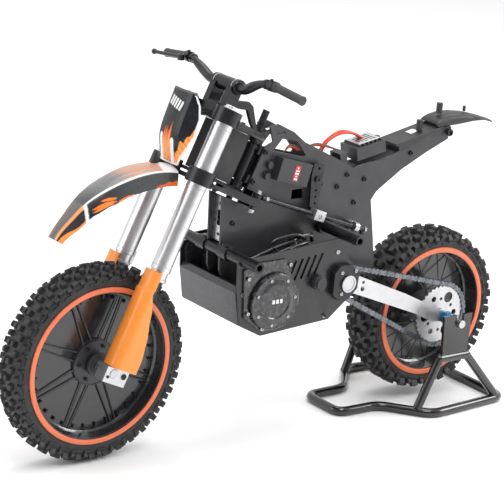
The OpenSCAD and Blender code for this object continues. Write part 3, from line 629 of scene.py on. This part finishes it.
def tongues(x, seed, n=5):
    """A ragged 0..1 edge made of pointed licks across x in 0..1."""
    best = 0.0
    for k in range(n):
        h = 0.45 + 0.55 * abs(math.sin(seed + 2.3 * k * k))
        c = (k + 0.5 + 0.25 * math.sin(seed * 3 + k)) / n
        best = max(best, h * max(0.0, 1 - abs(x - c) * n * 1.15) ** 0.7)
    return best


def fender():
    """Crowned front fender: an arc with a crease, side walls of varying depth and a blunt tip."""
    cx, cz, t0, t1 = 138.0, 156.0, 27.0, 102.0
    roof = 0.62
    # The lower edge's radius by angle, from the tip back.
    lower = [(27, 99.0), (30, 97.0), (36.5, 93.5), (43, 93.0), (47, 92.6), (50, 91.0), (57, 89.4), (61, 87.2),
             (68, 86.9), (77, 85.8), (86, 85.9), (102, 88.0)]

    def point(u, v):
        t = t0 + (t1 - t0) * u
        crease = 14.6 * (0.30 + 0.70 * smooth(t0 - 6, 84, t))
        foot = 17.8 * (0.62 + 0.38 * smooth(t0 - 4, 60, t))
        s = 2 * v - 1
        side = abs(s)
        flat = smooth(72, 46, t)
        if side < roof:
            y = side / roof * crease
            r = 103.0 - (3.4 - 2.6 * flat) * (side / roof) ** 2.2
        else:
            k = (side - roof) / (1 - roof)
            y = crease + (foot - crease) * k ** 0.75
            top = 99.6 + 2.6 * flat
            r = top + (lookup(lower, t) - top) * k
        r += 2.0 * smooth(42, 28, t)
        return Vector((cx, math.copysign(y, s), cz)) + spoke(math.radians(t)) * r

    def paint(u, v):
        t = t0 + (t1 - t0) * u
        s = 2 * v - 1
        side = abs(s)
        ahead = point(u, v).x - 205.0
        # The crowned top: grey, with warm licks at the back and an orange border ahead of x = 207.
        if side < 0.60:
            c = mix((0.06, 0.06, 0.06), (0.17, 0.168, 0.168), smooth(46, 62, t) * (1 - 0.35 * side))
            hot = mix((0.62, 0.24, 0.11), (0.42, 0.30, 0.26),
                      0.5 + 0.5 * math.sin(v * 41 + 3 * math.sin(t * 0.13)))
            c = mix(c, hot, 0.9 * smooth(70, 82, t + 16 * tongues(v * 1.3 % 1.0, 1.7, 7) - 6))
            if ahead > 2.0:
                c = mix((0.12, 0.115, 0.11), (0.55, 0.21, 0.09), smooth(0.46, 0.6, side))
            if t > 93:
                c = mix(c, WHITE, 0.9 * smooth(93, 96, t + 4 * side))
            return c
        # The line along the crease, then the side wall, with k from the crease down.
        if side < 0.64:
            return WHITE if ahead < 2.4 else (0.80, 0.34, 0.14)
        k = (side - 0.64) / 0.36
        c = mix((0.010, 0.012, 0.012), (0.055, 0.060, 0.060), smooth(46, 76, t))
        if t > 96:
            c = mix(c, (0.03, 0.03, 0.03), 0.6)
        if -0.2 < ahead < 2.4:
            return WHITE
        lick = 0.0
        for c0, t_a, t_b, slope in ((0.55, 49, 62, 0.020), (0.74, 48, 60, 0.012), (0.40, 55, 63, 0.030)):
            if t_a < t < t_b:
                mid = c0 + slope * (t - t_a)
                w = 0.12 * math.sin(math.pi * (t - t_a) / (t_b - t_a)) ** 0.6
                lick = max(lick, 1 - abs(k - mid) / max(w, 0.01))
        if lick > 0:
            c = mix(mix(RED, c, 0.3), mix(ORANGE, YELLOW, 0.15), smooth(0.0, 0.45, lick))
        if 60 < t < 74 and k > 0.97 - 0.10 * math.sin((t - 60) / 14 * math.pi):
            c = ORANGE
        if t > 88 and k > 0.86 - 0.30 * smooth(88, 102, t) * tongues((t - 88) / 14, 2.2, 3):
            c = mix(ORANGE, RED, 0.45)
        if ahead >= 2.4:
            c = mix((0.045, 0.035, 0.050), c, 0.5)
            if k > 0.80 - 0.45 * smooth(38, 28, t):
                c = mix(ORANGE, YELLOW, 0.3)
            if k < 0.10:
                c = (0.80, 0.35, 0.12)
        return c

    shell("front_fender_shell", 170, 110, point, paint, "fender_grey", "front_fender", 1.5)
    bm = bmesh.new()
    fin = [(126.8, 255.8), (135.5, 256.4), (131.5, 270.2), (130.0, 270.4)]
    slab(bm, *([(x, y, z) for x, z in fin] for y in (-3.4, -0.6)))
    outward(bm)
    finish_mesh("fender_fin", bm, "plastic_black", "yoke", bevel=0.5)


fender()


def number_plate():
    """Front plate: a broad middle band and two swept wings."""
    # Half its width by height.
    wide = [(258.6, 12.4), (260, 13.2), (272, 18.0), (286, 21.8), (300, 21.8), (311, 19.4), (318, 16.6),
            (321, 13.6), (322, 11.0)]

    z0, z1 = wide[0][0], wide[-1][0]

    def where(u, v):
        z = z0 + (z1 - z0) * u
        return (2 * v - 1) * lookup(wide, z), z

    def point(u, v):
        y, z = where(u, v)
        lean = -3.0 + 3.8 * smooth(250, 284, z) - 15.5 * smooth(276, 336, z)
        out = max(abs(y) - 13.2, 0.0)
        return Vector((121.6 + lean - 0.010 * y * y - 1.15 * (out * out / (out + 1.2)), y, z - 0.10 * out))

    def paint(u, v):
        y, z = where(u, v)
        edge = lookup(wide, z) - abs(y)
        # The right wing is grey and the left one black, with a light border.
        if y < -15.2 + 0.08 * (z - 286):
            return mix((0.50, 0.50, 0.51), (0.34, 0.34, 0.35), smooth(280, 316, z))
        if edge < 1.0 and y > 9 and z < 319:
            return WHITE if z > 286 else (0.86, 0.80, 0.72)
        c = (0.006, 0.007, 0.010) if y > 7.6 + 0.13 * (z - 270) else \
            mix((0.014, 0.015, 0.017), (0.018, 0.020, 0.021), u)
        if z > 320.3:
            c = (0.10, 0.10, 0.105)
        if y < -15.9 + 0.08 * (z - 286) and z < 300:
            c = WHITE
        # Licks of flame at the foot of the band, a white post on each side, and flames up the left wing.
        if abs(y + 0.6) < 5.6:
            top = 276 + 22 * tongues((y + 6.2) / 11.2, 0.4, 4)
            if z < top:
                hot = mix(ORANGE, YELLOW, 0.5 + 0.5 * math.sin(y * 3.4 + 0.9 * math.sin(z * 0.35)))
                c = mix(c, mix(hot, RED, 0.8 * smooth(top - 13, top, z)), 0.95)
            if z < 262 and tongues((y + 6.2) / 11.2, 1.9, 3) > (z - 255) / 7:
                c = (0.06, 0.008, 0.008)
        for mid, top in ((-8.6, 284.0), (7.0, 282.0)):
            if abs(y - mid) < 2.1 and z < top - 0.9 * (y - mid) ** 2 * 0.5:
                c = WHITE
        if y > 9.4:
            line = 257.5 + 2.55 * (y - 11.6)
            lick = 11 * tongues((y - 9.4) / 12, 1.1, 5)
            if z < line + 5.5 + lick:
                c = mix(ORANGE, YELLOW, 0.5 + 0.5 * math.sin(y * 2.4 + z * 0.7))
            if z < line + 2.2:
                c = (0.88, 0.80, 0.70)
        if z < 260.2:
            c = WHITE
        # Slanted bars stand where the photo has print.
        bar = z - 305.5 + 0.20 * y
        if -11.0 < y < 7.4 and 0 < bar < 8.0:
            lean_y = (y + 11.0 - 0.22 * bar) / 3.7
            if lean_y % 1.0 < 0.62:
                c = WHITE
        return c

    shell("number_plate_shell", 200, 150, point, paint, "plate_dark", "number_plate", 1.6)
    bm = bmesh.new()
    for y in (-8.0, 8.0):
        tube(bm, round_corners([yoke(66, y * 0.9, 26), (108, y, 303), (113.4, y, 303)], 4), 1.7, 10)
    finish_mesh("plate_stays", bm, "clamp_black", "yoke")


number_plate()

# ----------------------------------------------------------------- fork parts

def guards():
    """Leg guards: open orange sheets round the outer side of both legs, and the axle clamp screws."""
    for side, tag in ((1, "left"), (-1, "right")):
        bm = bmesh.new()
        q0, q1, rows = -201.5, -113.5, 44
        grid = []
        for i in range(rows + 1):
            q = q0 + (q1 - q0) * i / rows
            back = -12.0 + 3.0 * smooth(-190, -172, q) + 7.0 * smooth(-176, -148, q) \
                + 8.5 * smooth(-152, -128, q) + 2.5 * smooth(-130, -113, q)
            step = 1.3 * smooth(-131.5, -129.5, q)
            front = 13.4 - step
            flat = 11.9 - 0.6 * step
            line = [(front - 2.2, -6.9), (front - 0.4, -4.5), (front, -1), (front - 0.1, 3.5),
                    (front - 1.1, 7.2), (front - 3.6, 10.2), (front - 6.8, flat)]
            end = min(back, front - 8.0)
            start = front - 6.8
            for k in (0.25, 0.5, 0.75, 1.0):
                line.append((start + (end - start) * k, flat - 0.5 * k ** 2))
            grid.append([bm.verts.new(yoke(LEG_P + p, side * (LEG_Y + y), q)) for p, y in line])
        stitch(bm, grid)
        outward(bm)
        # An open sheet has no inside, so a middle face shows whether it looks away from the leg.
        inner = yoke(LEG_P, side * LEG_Y, -160)
        f = bm.faces[:][len(bm.faces) // 2]
        if (f.calc_center_median() - inner).dot(f.normal) < 0:
            bmesh.ops.reverse_faces(bm, faces=bm.faces)
        finish_mesh("leg_guard_" + tag, bm, "guard_orange", "fork_lower", "guard_orange", ("fork_guards",),
                    40, thick=2.0, bevel=0.35)
    bm = bmesh.new()
    for side in (-1, 1):
        y = side * (LEG_Y + 6.6)
        bolt(bm, yoke(LEG_P - 4.6, y, -207), (0, side, 0), 2.1, 0.9, washer=2.7)
        bolt(bm, yoke(LEG_P + 11.5, y, -211), (0, side, 0), 1.3, 0.8)
    finish_mesh("axle_clamp_bolts", bm, "steel_dark", "fork_lower")


guards()
for node in ("axle_blocks", "fork_rods", "front_axle"):
    refine(node, 0.35)
refine("fork_tubes", 0.3, "tube_silver")


def fork_details():
    """Rings and caps on the outer tubes, and the dust seals at their lower ends."""
    bm = bmesh.new()
    for side in (-1, 1):
        base = yoke(LEG_P, side * LEG_Y, 0)
        for q in (-108, -36, 18):
            lathe(bm, [(8.8, q - 0.6), (9.05, q - 0.5), (9.05, q + 0.5), (8.8, q + 0.6)], base, ALONG, 64)
        lathe(bm, [(8.3, -121), (8.9, -120.6), (8.9, -118.6), (8.3, -118.2)], base, ALONG, 64)
        lathe(bm, [(0, 38.4), (2.2, 38.4), (2.2, 39.4), (4.2, 39.4), (4.6, 38.8), (4.6, 37)], base, ALONG, 40)
    finish_mesh("fork_rings", bm, "silver", "yoke")
    bm = bmesh.new()
    for side in (-1, 1):
        base = yoke(LEG_P, side * LEG_Y, 0)
        lathe(bm, [(5.0, -124.5), (6.6, -124), (6.9, -121.5), (6.9, -119.4), (5.0, -119)], base, ALONG, 48)
    finish_mesh("fork_dust_seals", bm, "plastic_black", "yoke")


fork_details()


def clamps():
    """Clamp screws, toothed collars and thread of the steering stem, and nuts on the push rod's stud."""
    for node in ("upper_clamp", "lower_clamp", "yoke_block", "bar_mount", "stem", "head_tube"):
        refine(node, 0.45 if node != "stem" else 0.2)
    bm = bmesh.new()
    for q, out in ((30.2, 1), (-31.2, -1)):
        for p, y in ((40, 13), (40, -13), (26, 9), (26, -9)):
            bolt(bm, yoke(p, y, q), ALONG * out, 2.1, 1.8, washer=3.0)
    for q in (29.5, -26):
        for side in (-1, 1):
            for k in (-3.2, 3.2):
                bolt(bm, yoke(LEG_P - 13.2, side * (LEG_Y - 4.5), q + k), -AHEAD, 1.7, 1.4)
    finish_mesh("clamp_bolts", bm, "steel_dark", "yoke")
    teeth = 28
    gear = []
    for k in range(teeth):
        t, r = 2 * math.pi * k / teeth, 7.65 if k % 2 else 7.2
        gear.append((r * math.cos(t), r * math.sin(t)))
    bm = bmesh.new()
    for q in (33.5, -19.8, 17.2):
        slab(bm, *([yoke(p, y, q + h) for p, y in gear] for h in (-1.6, 1.6)))
    outward(bm)
    finish_mesh("stem_collars", bm, "steel_dark", "yoke", angle=20)
    bm = bmesh.new()
    coil = [yoke(3.05 * math.cos(0.52 * k), 3.05 * math.sin(0.52 * k), 34.5 + 0.0495 * k) for k in range(310)]
    tube(bm, coil, 0.28, 6)
    finish_mesh("stem_thread", bm, "steel_dark", "yoke")
    bm = bmesh.new()
    stud = yoke(-10, 22, 0)
    for a, b, r in ((-20.9, -18.6, 3.6), (-18.4, -16.4, 3.0)):
        lathe(bm, [(0, a), (r, a), (r, b), (r * 0.85, b + 0.3), (0, b + 0.3)], stud, ALONG, 6)
    lathe(bm, [(0, -37.5), (2.2, -37.5), (2.9, -36.5), (2.9, -34), (0, -34)], stud, ALONG, 24)
    finish_mesh("rod_stud_nuts", bm, "silver", "yoke")


clamps()


def bars():
    """Handlebar with its wide middle sleeve, bends, control clamps, ribbed grips and end flanges."""
    bm = bmesh.new()
    half = [(61.4, 8, 323), (61.4, 18, 322.6), (61.8, 26, 323.6), (62.6, 38, 329.4), (62.5, 48, 333.4),
            (61.2, 56, 334.3), (60, 62, 334.0), (58.8, 78, 332.2), (57.5, 97, 329.6)]
    full = [Vector((x, -y, z)) for x, y, z in reversed(half)] + [Vector(p) for p in half]
    line = curve_points(full, 6)
    tube(bm, line, [3.2 + 1.2 * smooth(52, 34, abs(p.y)) for p in line], 20)
    sleeve = Vector((61.3, 0, 323.1))
    lathe(bm, [(3, -17.5), (5.8, -17.5), (6.7, -16.6), (6.7, -13.2), (6.3, -12.8), (6.3, 12.8), (6.7, 13.2),
               (6.7, 16.6), (5.8, 17.5), (3, 17.5)], sleeve, n=48)
    for s in (-1, 1):
        tube(bm, [(60.9, s * 57.0, 334.2), (60.3, s * 62.5, 333.9)], 4.8, 20)
        tube(bm, [(61.2, s * 51.5, 333.9), (61.0, s * 54.5, 334.2)], 4.3, 20)
        bolt(bm, (61.5, s * 59.5, 339.0), (0.1, 0, 1), 1.5, 1.0)
    outward(bm)
    finish_mesh("handlebar_tube", bm, "clamp_black", "yoke", "clamp_black", ("handlebar",))
    bm = bmesh.new()
    for y in (-12.9, 12.9):
        lathe(bm, [(6.2, y - 0.45), (6.95, y - 0.35), (6.95, y + 0.35), (6.2, y + 0.45)], sleeve, n=48)
    finish_mesh("sleeve_rings", bm, "silver", "yoke")
    # The grip's radius by step: flange, collar, ribs, end bead.
    steps = 60
    radii = [4.6 if i < 4 else 4.0 if i < 6 else 4.1 if i > 57 else 3.75 if math.sin(i * 1.9) > 0 else 3.55
             for i in range(steps + 1)]
    bm = bmesh.new()
    for s in (-1, 1):
        a, b = Vector((60, s * 63, 333.95)), Vector((57.4, s * 97.5, 329.55))
        tube(bm, [a.lerp(b, i / steps) for i in range(steps + 1)], radii, 28)
    outward(bm)
    finish_mesh("ribbed_grips", bm, "grip_rubber", "yoke", "grip_rubber", ("grips",), 40)
    refine("brake_lever", 0.3)


bars()

# ------------------------------------------------------------------- chassis

def rod_details():
    """Lock nuts and the square clamp on the push rod."""
    start = Vector((-93, 22, 181.2))
    d, up = Vector((0.945, 0, 0.327)), Vector((-0.327, 0, 0.945))
    bm = bmesh.new()
    for t, r, h in ((1.5, 3.1, 2.4), (126.0, 2.9, 3.2)):
        lathe(bm, [(2.0, -h / 2), (r, -h / 2), (r, h / 2), (2.0, h / 2)], start + d * t, d, 6, closed=True)
    bolt(bm, (-34, 26.2, 201.6), LEFT, 2.2, 1.2)
    finish_mesh("rod_nuts", bm, "steel", "push_rod", "steel_dark")
    bm = bmesh.new()
    block(bm, (-34, 22, 201.6), (12.4, 9.4, 9.4), (d, LEFT, up))
    finish_mesh("rod_clamp", bm, "silver", "push_rod", "steel_dark", bevel=0.5)


rod_details()

EDGE = {
    "left_plate": 0.35, "right_plate": 0.35, "plate_spacers": 0.25, "belly_tray": 0.35, "left_cover": 0.3,
    "right_cover": 0.3, "crankcase_cover": 0.5, "motor": 0.6, "battery": 1.2, "servo": 0.5,
    "speed_controller": 0.35, "tail_box": 0.7, "body_posts": 0.3, "front_pegs": 0.35, "rear_pegs": 0.35,
    "pivot_blocks": 0.5, "chain_roller": 0.4, "rod_guide": 0.4, "servo_arm": 0.3, "push_rod": 0.2,
    "swingarm": 0.35, "pivot_shaft": 0.4, "rear_axle": 0.3, "axle_nuts": 0.5, "rear_sprocket": 0.18,
    "drive_sprocket": 0.15, "shock_shaft": 0.2, "stand_uprights": 0.3,
}
for node, width in EDGE.items():
    refine(node, width)


def rear_fender():
    """Rear mudguard: a thin crowned sheet with turned-down sides that fade out at the tail."""
    front, tail, rows, cols = -178.2, -250.0, 60, 24
    # Heights of the top and of the lower edge along x, from the tail forwards.
    tops = [(tail, 270.4), (-238, 273.9), (-224, 277.0), (-210, 278.6), (-196, 278.4), (-186, 276.6),
            (-181, 274.6), (front, 271.6)]
    feet = [(tail, 269.8), (-243, 271.4), (-224, 271.6), (-204, 269.9), (-186, 269.0), (front, 269.4)]
    roof, drop = 0.8, 1.1
    bm = bmesh.new()
    grid = []
    for i in range(rows + 1):
        x = front + (tail - front) * i / rows
        z, foot = lookup(tops, x), lookup(feet, x)
        half = 13.0 - 1.6 * smooth(-236, -252, x)
        line = []
        for t in (2 * j / cols - 1 for j in range(cols + 1)):
            if abs(t) < roof:
                a = abs(t) / roof
                y, h = a * (half - 1.0), z - drop * a ** 3 - (0.5 if 0.25 < a < 0.6 else 0)
            else:
                k = (abs(t) - roof) / (1 - roof)
                y, h = half - 1.0 + k ** 0.5, z - drop + (min(foot, z - 1.2) - z + drop) * k
            line.append(bm.verts.new((x, math.copysign(y, t), h)))
        grid.append(line)
    stitch(bm, grid)
    outward(bm)
    finish_mesh("rear_fender_shell", bm, "plastic_black", "chassis", SLOT_OF["rear_fender"],
                ("rear_fender",), 40, thick=1.2)
    bm = bmesh.new()
    for s in (-1, 1):
        lathe(bm, [(0, 13.2), (3.5, 13.2), (3.5, 16.4), (3.0, 17.0), (1.9, 17.0), (1.9, 15.4), (0, 15.4)],
              Vector((-192, 0, 263.4)), LEFT * s, 32)
    finish_mesh("rear_fender_bosses", bm, "steel_dark", "chassis", "plastic_black")


def pivot_bolts():
    """Three screws and a bearing ring on each pivot block."""
    bm = bmesh.new()
    for s in (-1, 1):
        for x, z in ((-47, 134), (-62, 154), (-46, 154)):
            bolt(bm, (x, s * 49.7, z), LEFT * s, 1.7, 1.2)
        lathe(bm, [(6.1, 51.2), (7.9, 51.2), (7.9, 51.9), (6.1, 51.9)], Vector((-54, 0, 143)), LEFT * s, 48,
              closed=True)
    finish_mesh("pivot_bolts", bm, "steel", "chassis")


rear_fender()
pivot_bolts()


def screws():
    """A cap screw in place of each plain screw head of the frame."""
    bm = bmesh.new()
    for low, high in islands("frame_screws"):
        c = (low + high) / 2
        s = 1 if c.y > 0 else -1
        face = low.y if s > 0 else high.y
        r = max(high.x - low.x, high.z - low.z) / 2
        bolt(bm, (c.x, face, c.z), (0, s, 0), r, abs(high.y - low.y) * 0.95 + 0.2)
    outward(bm)
    finish_mesh("button_screws", bm, "steel_dark", "chassis", "steel_dark", ("frame_screws",))


screws()


def crankcase():
    """The round cap's stepped face, its screws, the side covers' screws and three plain marks."""
    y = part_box("crankcase_cover")[1].y / MM
    centre = Vector((27, 0, 136))
    bm = bmesh.new()
    lathe(bm, [(26.4, y - 3.2), (26.0, y - 1.2), (24.8, y - 0.6), (23.6, y - 0.9), (19.0, y - 0.5),
               (17.4, y + 0.2), (15.4, y + 0.4), (14.4, y - 0.3), (12.0, y - 0.2), (0, y - 0.1)], centre)
    finish_mesh("crankcase_cap", bm, "case_dark", "chassis")
    bm = bmesh.new()
    for k in range(7):
        a = math.radians(20 + 360 * k / 7)
        bolt(bm, centre + spoke(a) * 21.4 + LEFT * (y - 0.6), LEFT, 1.4, 0.9)
    for x, z in ((57, 160), (55, 128), (38, 112), (12, 168), (8, 150)):
        bolt(bm, (x, y - 3.2, z), LEFT, 1.7, 1.0)
    for s in (-1, 1):
        for x, z in ((60, 145), (-35, 113), (-44, 172)):
            bolt(bm, (x, s * 43.1, z), LEFT * s, 2.0, 1.2)
    finish_mesh("cover_bolts", bm, "steel", "chassis")
    bm = bmesh.new()
    for k in range(3):
        block(bm, (21.5 + 4.2 * k, y - 0.05, 136.5), (2.6, 0.5, 3.6), Matrix.Identity(3))
    finish_mesh("cap_marks", bm, "white", "chassis")


crankcase()


def sloped(degrees):
    """The axes of a patch that faces up, with its front edge lowered by an angle."""
    tilt = math.radians(degrees)
    return spoke(-tilt), LEFT, spoke(math.pi / 2 - tilt)


def patch(name, key, blocks, axes, **edges):
    """A label piece on the chassis from (centre, size) blocks."""
    bm = bmesh.new()
    for centre, size in blocks:
        block(bm, centre, size, axes)
    finish_mesh(name, bm, key, "chassis", "plastic_black", **edges)


def labels():
    """Plain printed patches on the servo, tail box and speed controller."""
    turn = math.radians(15.5)
    ax = (spoke(turn), spoke(turn + math.pi / 2), LEFT)
    centre = Vector((-8.0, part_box("servo")[1].y / MM + 0.05, 241.8))
    patch("servo_label_ground", "label_red", [(centre, (5.8, 14.0, 0.3))], ax)
    lines = [(centre + ax[1] * (-5.2 + 2.5 * k) + ax[2] * 0.25, (wide, 1.1 if k % 2 else 1.7, 0.25))
             for k, wide in enumerate((3.6, 2.2, 4.2, 4.2, 1.4))]
    patch("servo_label_print", "white", lines, ax)
    patch("tail_label", "white", [((-158, 0, 263.55), (9, 8, 0.3))], sloped(13))
    ax = sloped(11)
    top = Vector((-101, 0, 247.5)) + ax[2] * 14.3
    patch("controller_badge", "silver", [(top, (25, 20, 0.5))], ax, bevel=0.2)
    lines = [(top + ax[0] * (-8 + 3.2 * k) + ax[2] * 0.3, (1.4, 16 - 2.5 * (k % 3), 0.2)) for k in range(6)]
    patch("controller_print", "case_dark", lines, ax)


labels()


def wires():
    """Cables in the tray, the servo's three leads, and the leads that cross to the speed controller."""
    bm = bmesh.new()
    runs = [
        [(46, 20, 166), (30, 24, 172), (14, 25, 177), (-2, 26, 181), (-16, 23, 184), (-30, 20, 183),
         (-36, 16, 176)],
        [(46, 27, 164), (30, 29, 169), (12, 30, 174), (-6, 30, 178), (-20, 27, 178), (-30, 23, 172)],
        [(44, 32, 163), (26, 34, 168), (8, 33, 172), (-8, 33, 175), (-22, 31, 173), (-34, 27, 164)],
        [(22, 22, 170), (16, 23, 182), (4, 25, 186), (-10, 27, 187), (-18, 28, 181), (-8, 29, 176),
         (6, 28, 173)],
        [(20, 33, 166), (10, 36, 175), (-2, 36, 180), (-14, 34, 181), (-22, 31, 176), (-14, 32, 171),
         (0, 33, 168)],
        [(36, 21, 165), (20, 21.5, 168), (4, 22, 171), (-12, 22, 173), (-28, 22, 170)],
    ]
    for k, run in enumerate(runs):
        tube(bm, curve_points(run, 10), 1.7 if k in (3, 4) else 2.1, 14)
    for x, y, z in ((-3, 28.5, 179.5), (16, 28, 173)):
        tie = [(x + 0.2 * math.sin(a), y + 6.4 * math.cos(a), z + 4.6 * math.sin(a))
               for a in (2 * math.pi * k / 20 for k in range(20))]
        tube(bm, tie, 0.75, 8, loop=True)
    finish_mesh("tray_cables", bm, "cable_black", "chassis", "cable_black", ("cable_bundle",))
    for k, key in enumerate(("wire_red", "wire_orange", "wire_brown")):
        bm = bmesh.new()
        off = (k - 1) * 1.7
        path = [(0.5, 8.2, 248.5), (-1, 6.2 + off * 0.4, 255 + off * 0.3), (-6, 5.4 + off * 0.6, 262 + off),
                (-13, 4.6 + off, 262.5 + off * 0.7), (-22, 4.2 + off, 258.5 + off * 0.6),
                (-38, 3 + off, 261.5 + off * 0.8), (-52, 1.5 + off, 259 + off * 0.5), (-66, off, 254.5)]
        tube(bm, curve_points(path, 9), 0.72, 10)
        finish_mesh("servo_wire_" + str(k), bm, key, "chassis", "wire_red", ("servo_lead",) if k == 0 else ())
    bm = bmesh.new()
    for k in range(2):
        off = 2.4 * k
        path = [(-52, -3 - off, 252), (-60, -3 - off, 262), (-74, -2 - off, 268 + k), (-90, -2 - off, 266),
                (-104, -2 - off, 258)]
        tube(bm, curve_points(path, 8), 1.3, 12)
    finish_mesh("battery_leads", bm, "wire_red", "chassis")


wires()


def stand_loop():
    """The bent tube that lies on the ground."""
    bm = bmesh.new()
    r = 4.3
    side = [(-82, 24), (-128, 25), (-163, 66), (-258, 60)]
    pts = [(x, y, r) for x, y in side] + [(x, -y, r) for x, y in reversed(side)]
    tube(bm, round_corners(pts, 11, 7, loop=True), r, 24, loop=True)
    finish_mesh("stand_loop", bm, "stand_black", "stand", "stand_black", ("stand",))


stand_loop()
refine("shock_body", 0.2)

# -------------------------------------------------------------------- studio

def studio():
    """A pale floor, a sky that darkens behind the camera, and four soft lights."""
    bpy.ops.mesh.primitive_plane_add(size=24, location=(0, 0, -0.0002))
    floor = bpy.context.object
    floor.name = "studio_floor"
    m, nt, bsdf = tree("pale_floor")
    v = coords(nt)
    nt.links.new(blend_colors(nt, noise(nt, v, 3.0), (0.90, 0.90, 0.90), (0.93, 0.93, 0.93)),
                 bsdf.inputs["Base Color"])
    bsdf.inputs["Roughness"].default_value = 0.9
    floor.data.materials.append(m)
    world = bpy.data.worlds.new("soft_studio")
    bpy.context.scene.world = world
    world.use_nodes = True
    nt = world.node_tree
    back = nt.nodes["Background"]
    tc = nt.nodes.new("ShaderNodeTexCoord")
    dot = nt.nodes.new("ShaderNodeVectorMath")
    dot.operation = "DOT_PRODUCT"
    dot.inputs[1].default_value = (0.50, 0.84, 0.20)
    nt.links.new(tc.outputs["Generated"], dot.inputs[0])
    fac = spread(nt, dot.outputs["Value"], 0.0, 1.0, 0.35, 0.9)
    nt.links.new(blend_colors(nt, fac, (1.0, 1.0, 1.0), (0.22, 0.22, 0.23)), back.inputs["Color"])
    back.inputs["Strength"].default_value = 1.0
    middle = Vector((0, 0, 0.14))
    for name, place, size, power in (("key", (0.5, 1.3, 1.9), 0.9, 16), ("fill", (1.9, -0.5, 1.0), 1.2, 9),
                                     ("rear", (-1.6, 0.9, 1.2), 0.8, 18),
                                     ("top", (-0.2, -0.2, 2.2), 1.4, 24)):
        light = bpy.data.lights.new(name, "AREA")
        light.size = size
        light.energy = power
        obj = bpy.data.objects.new(name, light)
        obj.location = place
        obj.rotation_euler = (middle - Vector(place)).to_track_quat("-Z", "Y").to_euler()
        bpy.context.scene.collection.objects.link(obj)


def camera():
    """The photo's view, solved from the ellipses of the two wheels and the wheelbase."""
    cam = bpy.data.cameras.new("view")
    cam.lens = 142.86
    cam.sensor_width = 36
    obj = bpy.data.objects.new("view", cam)
    right = Vector((-0.79400, 0.60225, 0.08283))
    up = Vector((-0.11306, -0.28014, 0.95328))
    back = Vector((0.59732, 0.74754, 0.29052))
    place = Vector((1.08454, 1.33326, 0.68490))
    obj.matrix_world = Matrix((
        (right.x, up.x, back.x, place.x), (right.y, up.y, back.y, place.y),
        (right.z, up.z, back.z, place.z), (0, 0, 0, 1)))
    bpy.context.scene.collection.objects.link(obj)
    bpy.context.scene.camera = obj


studio()
camera()
bpy.context.scene.view_settings.view_transform = "Standard"
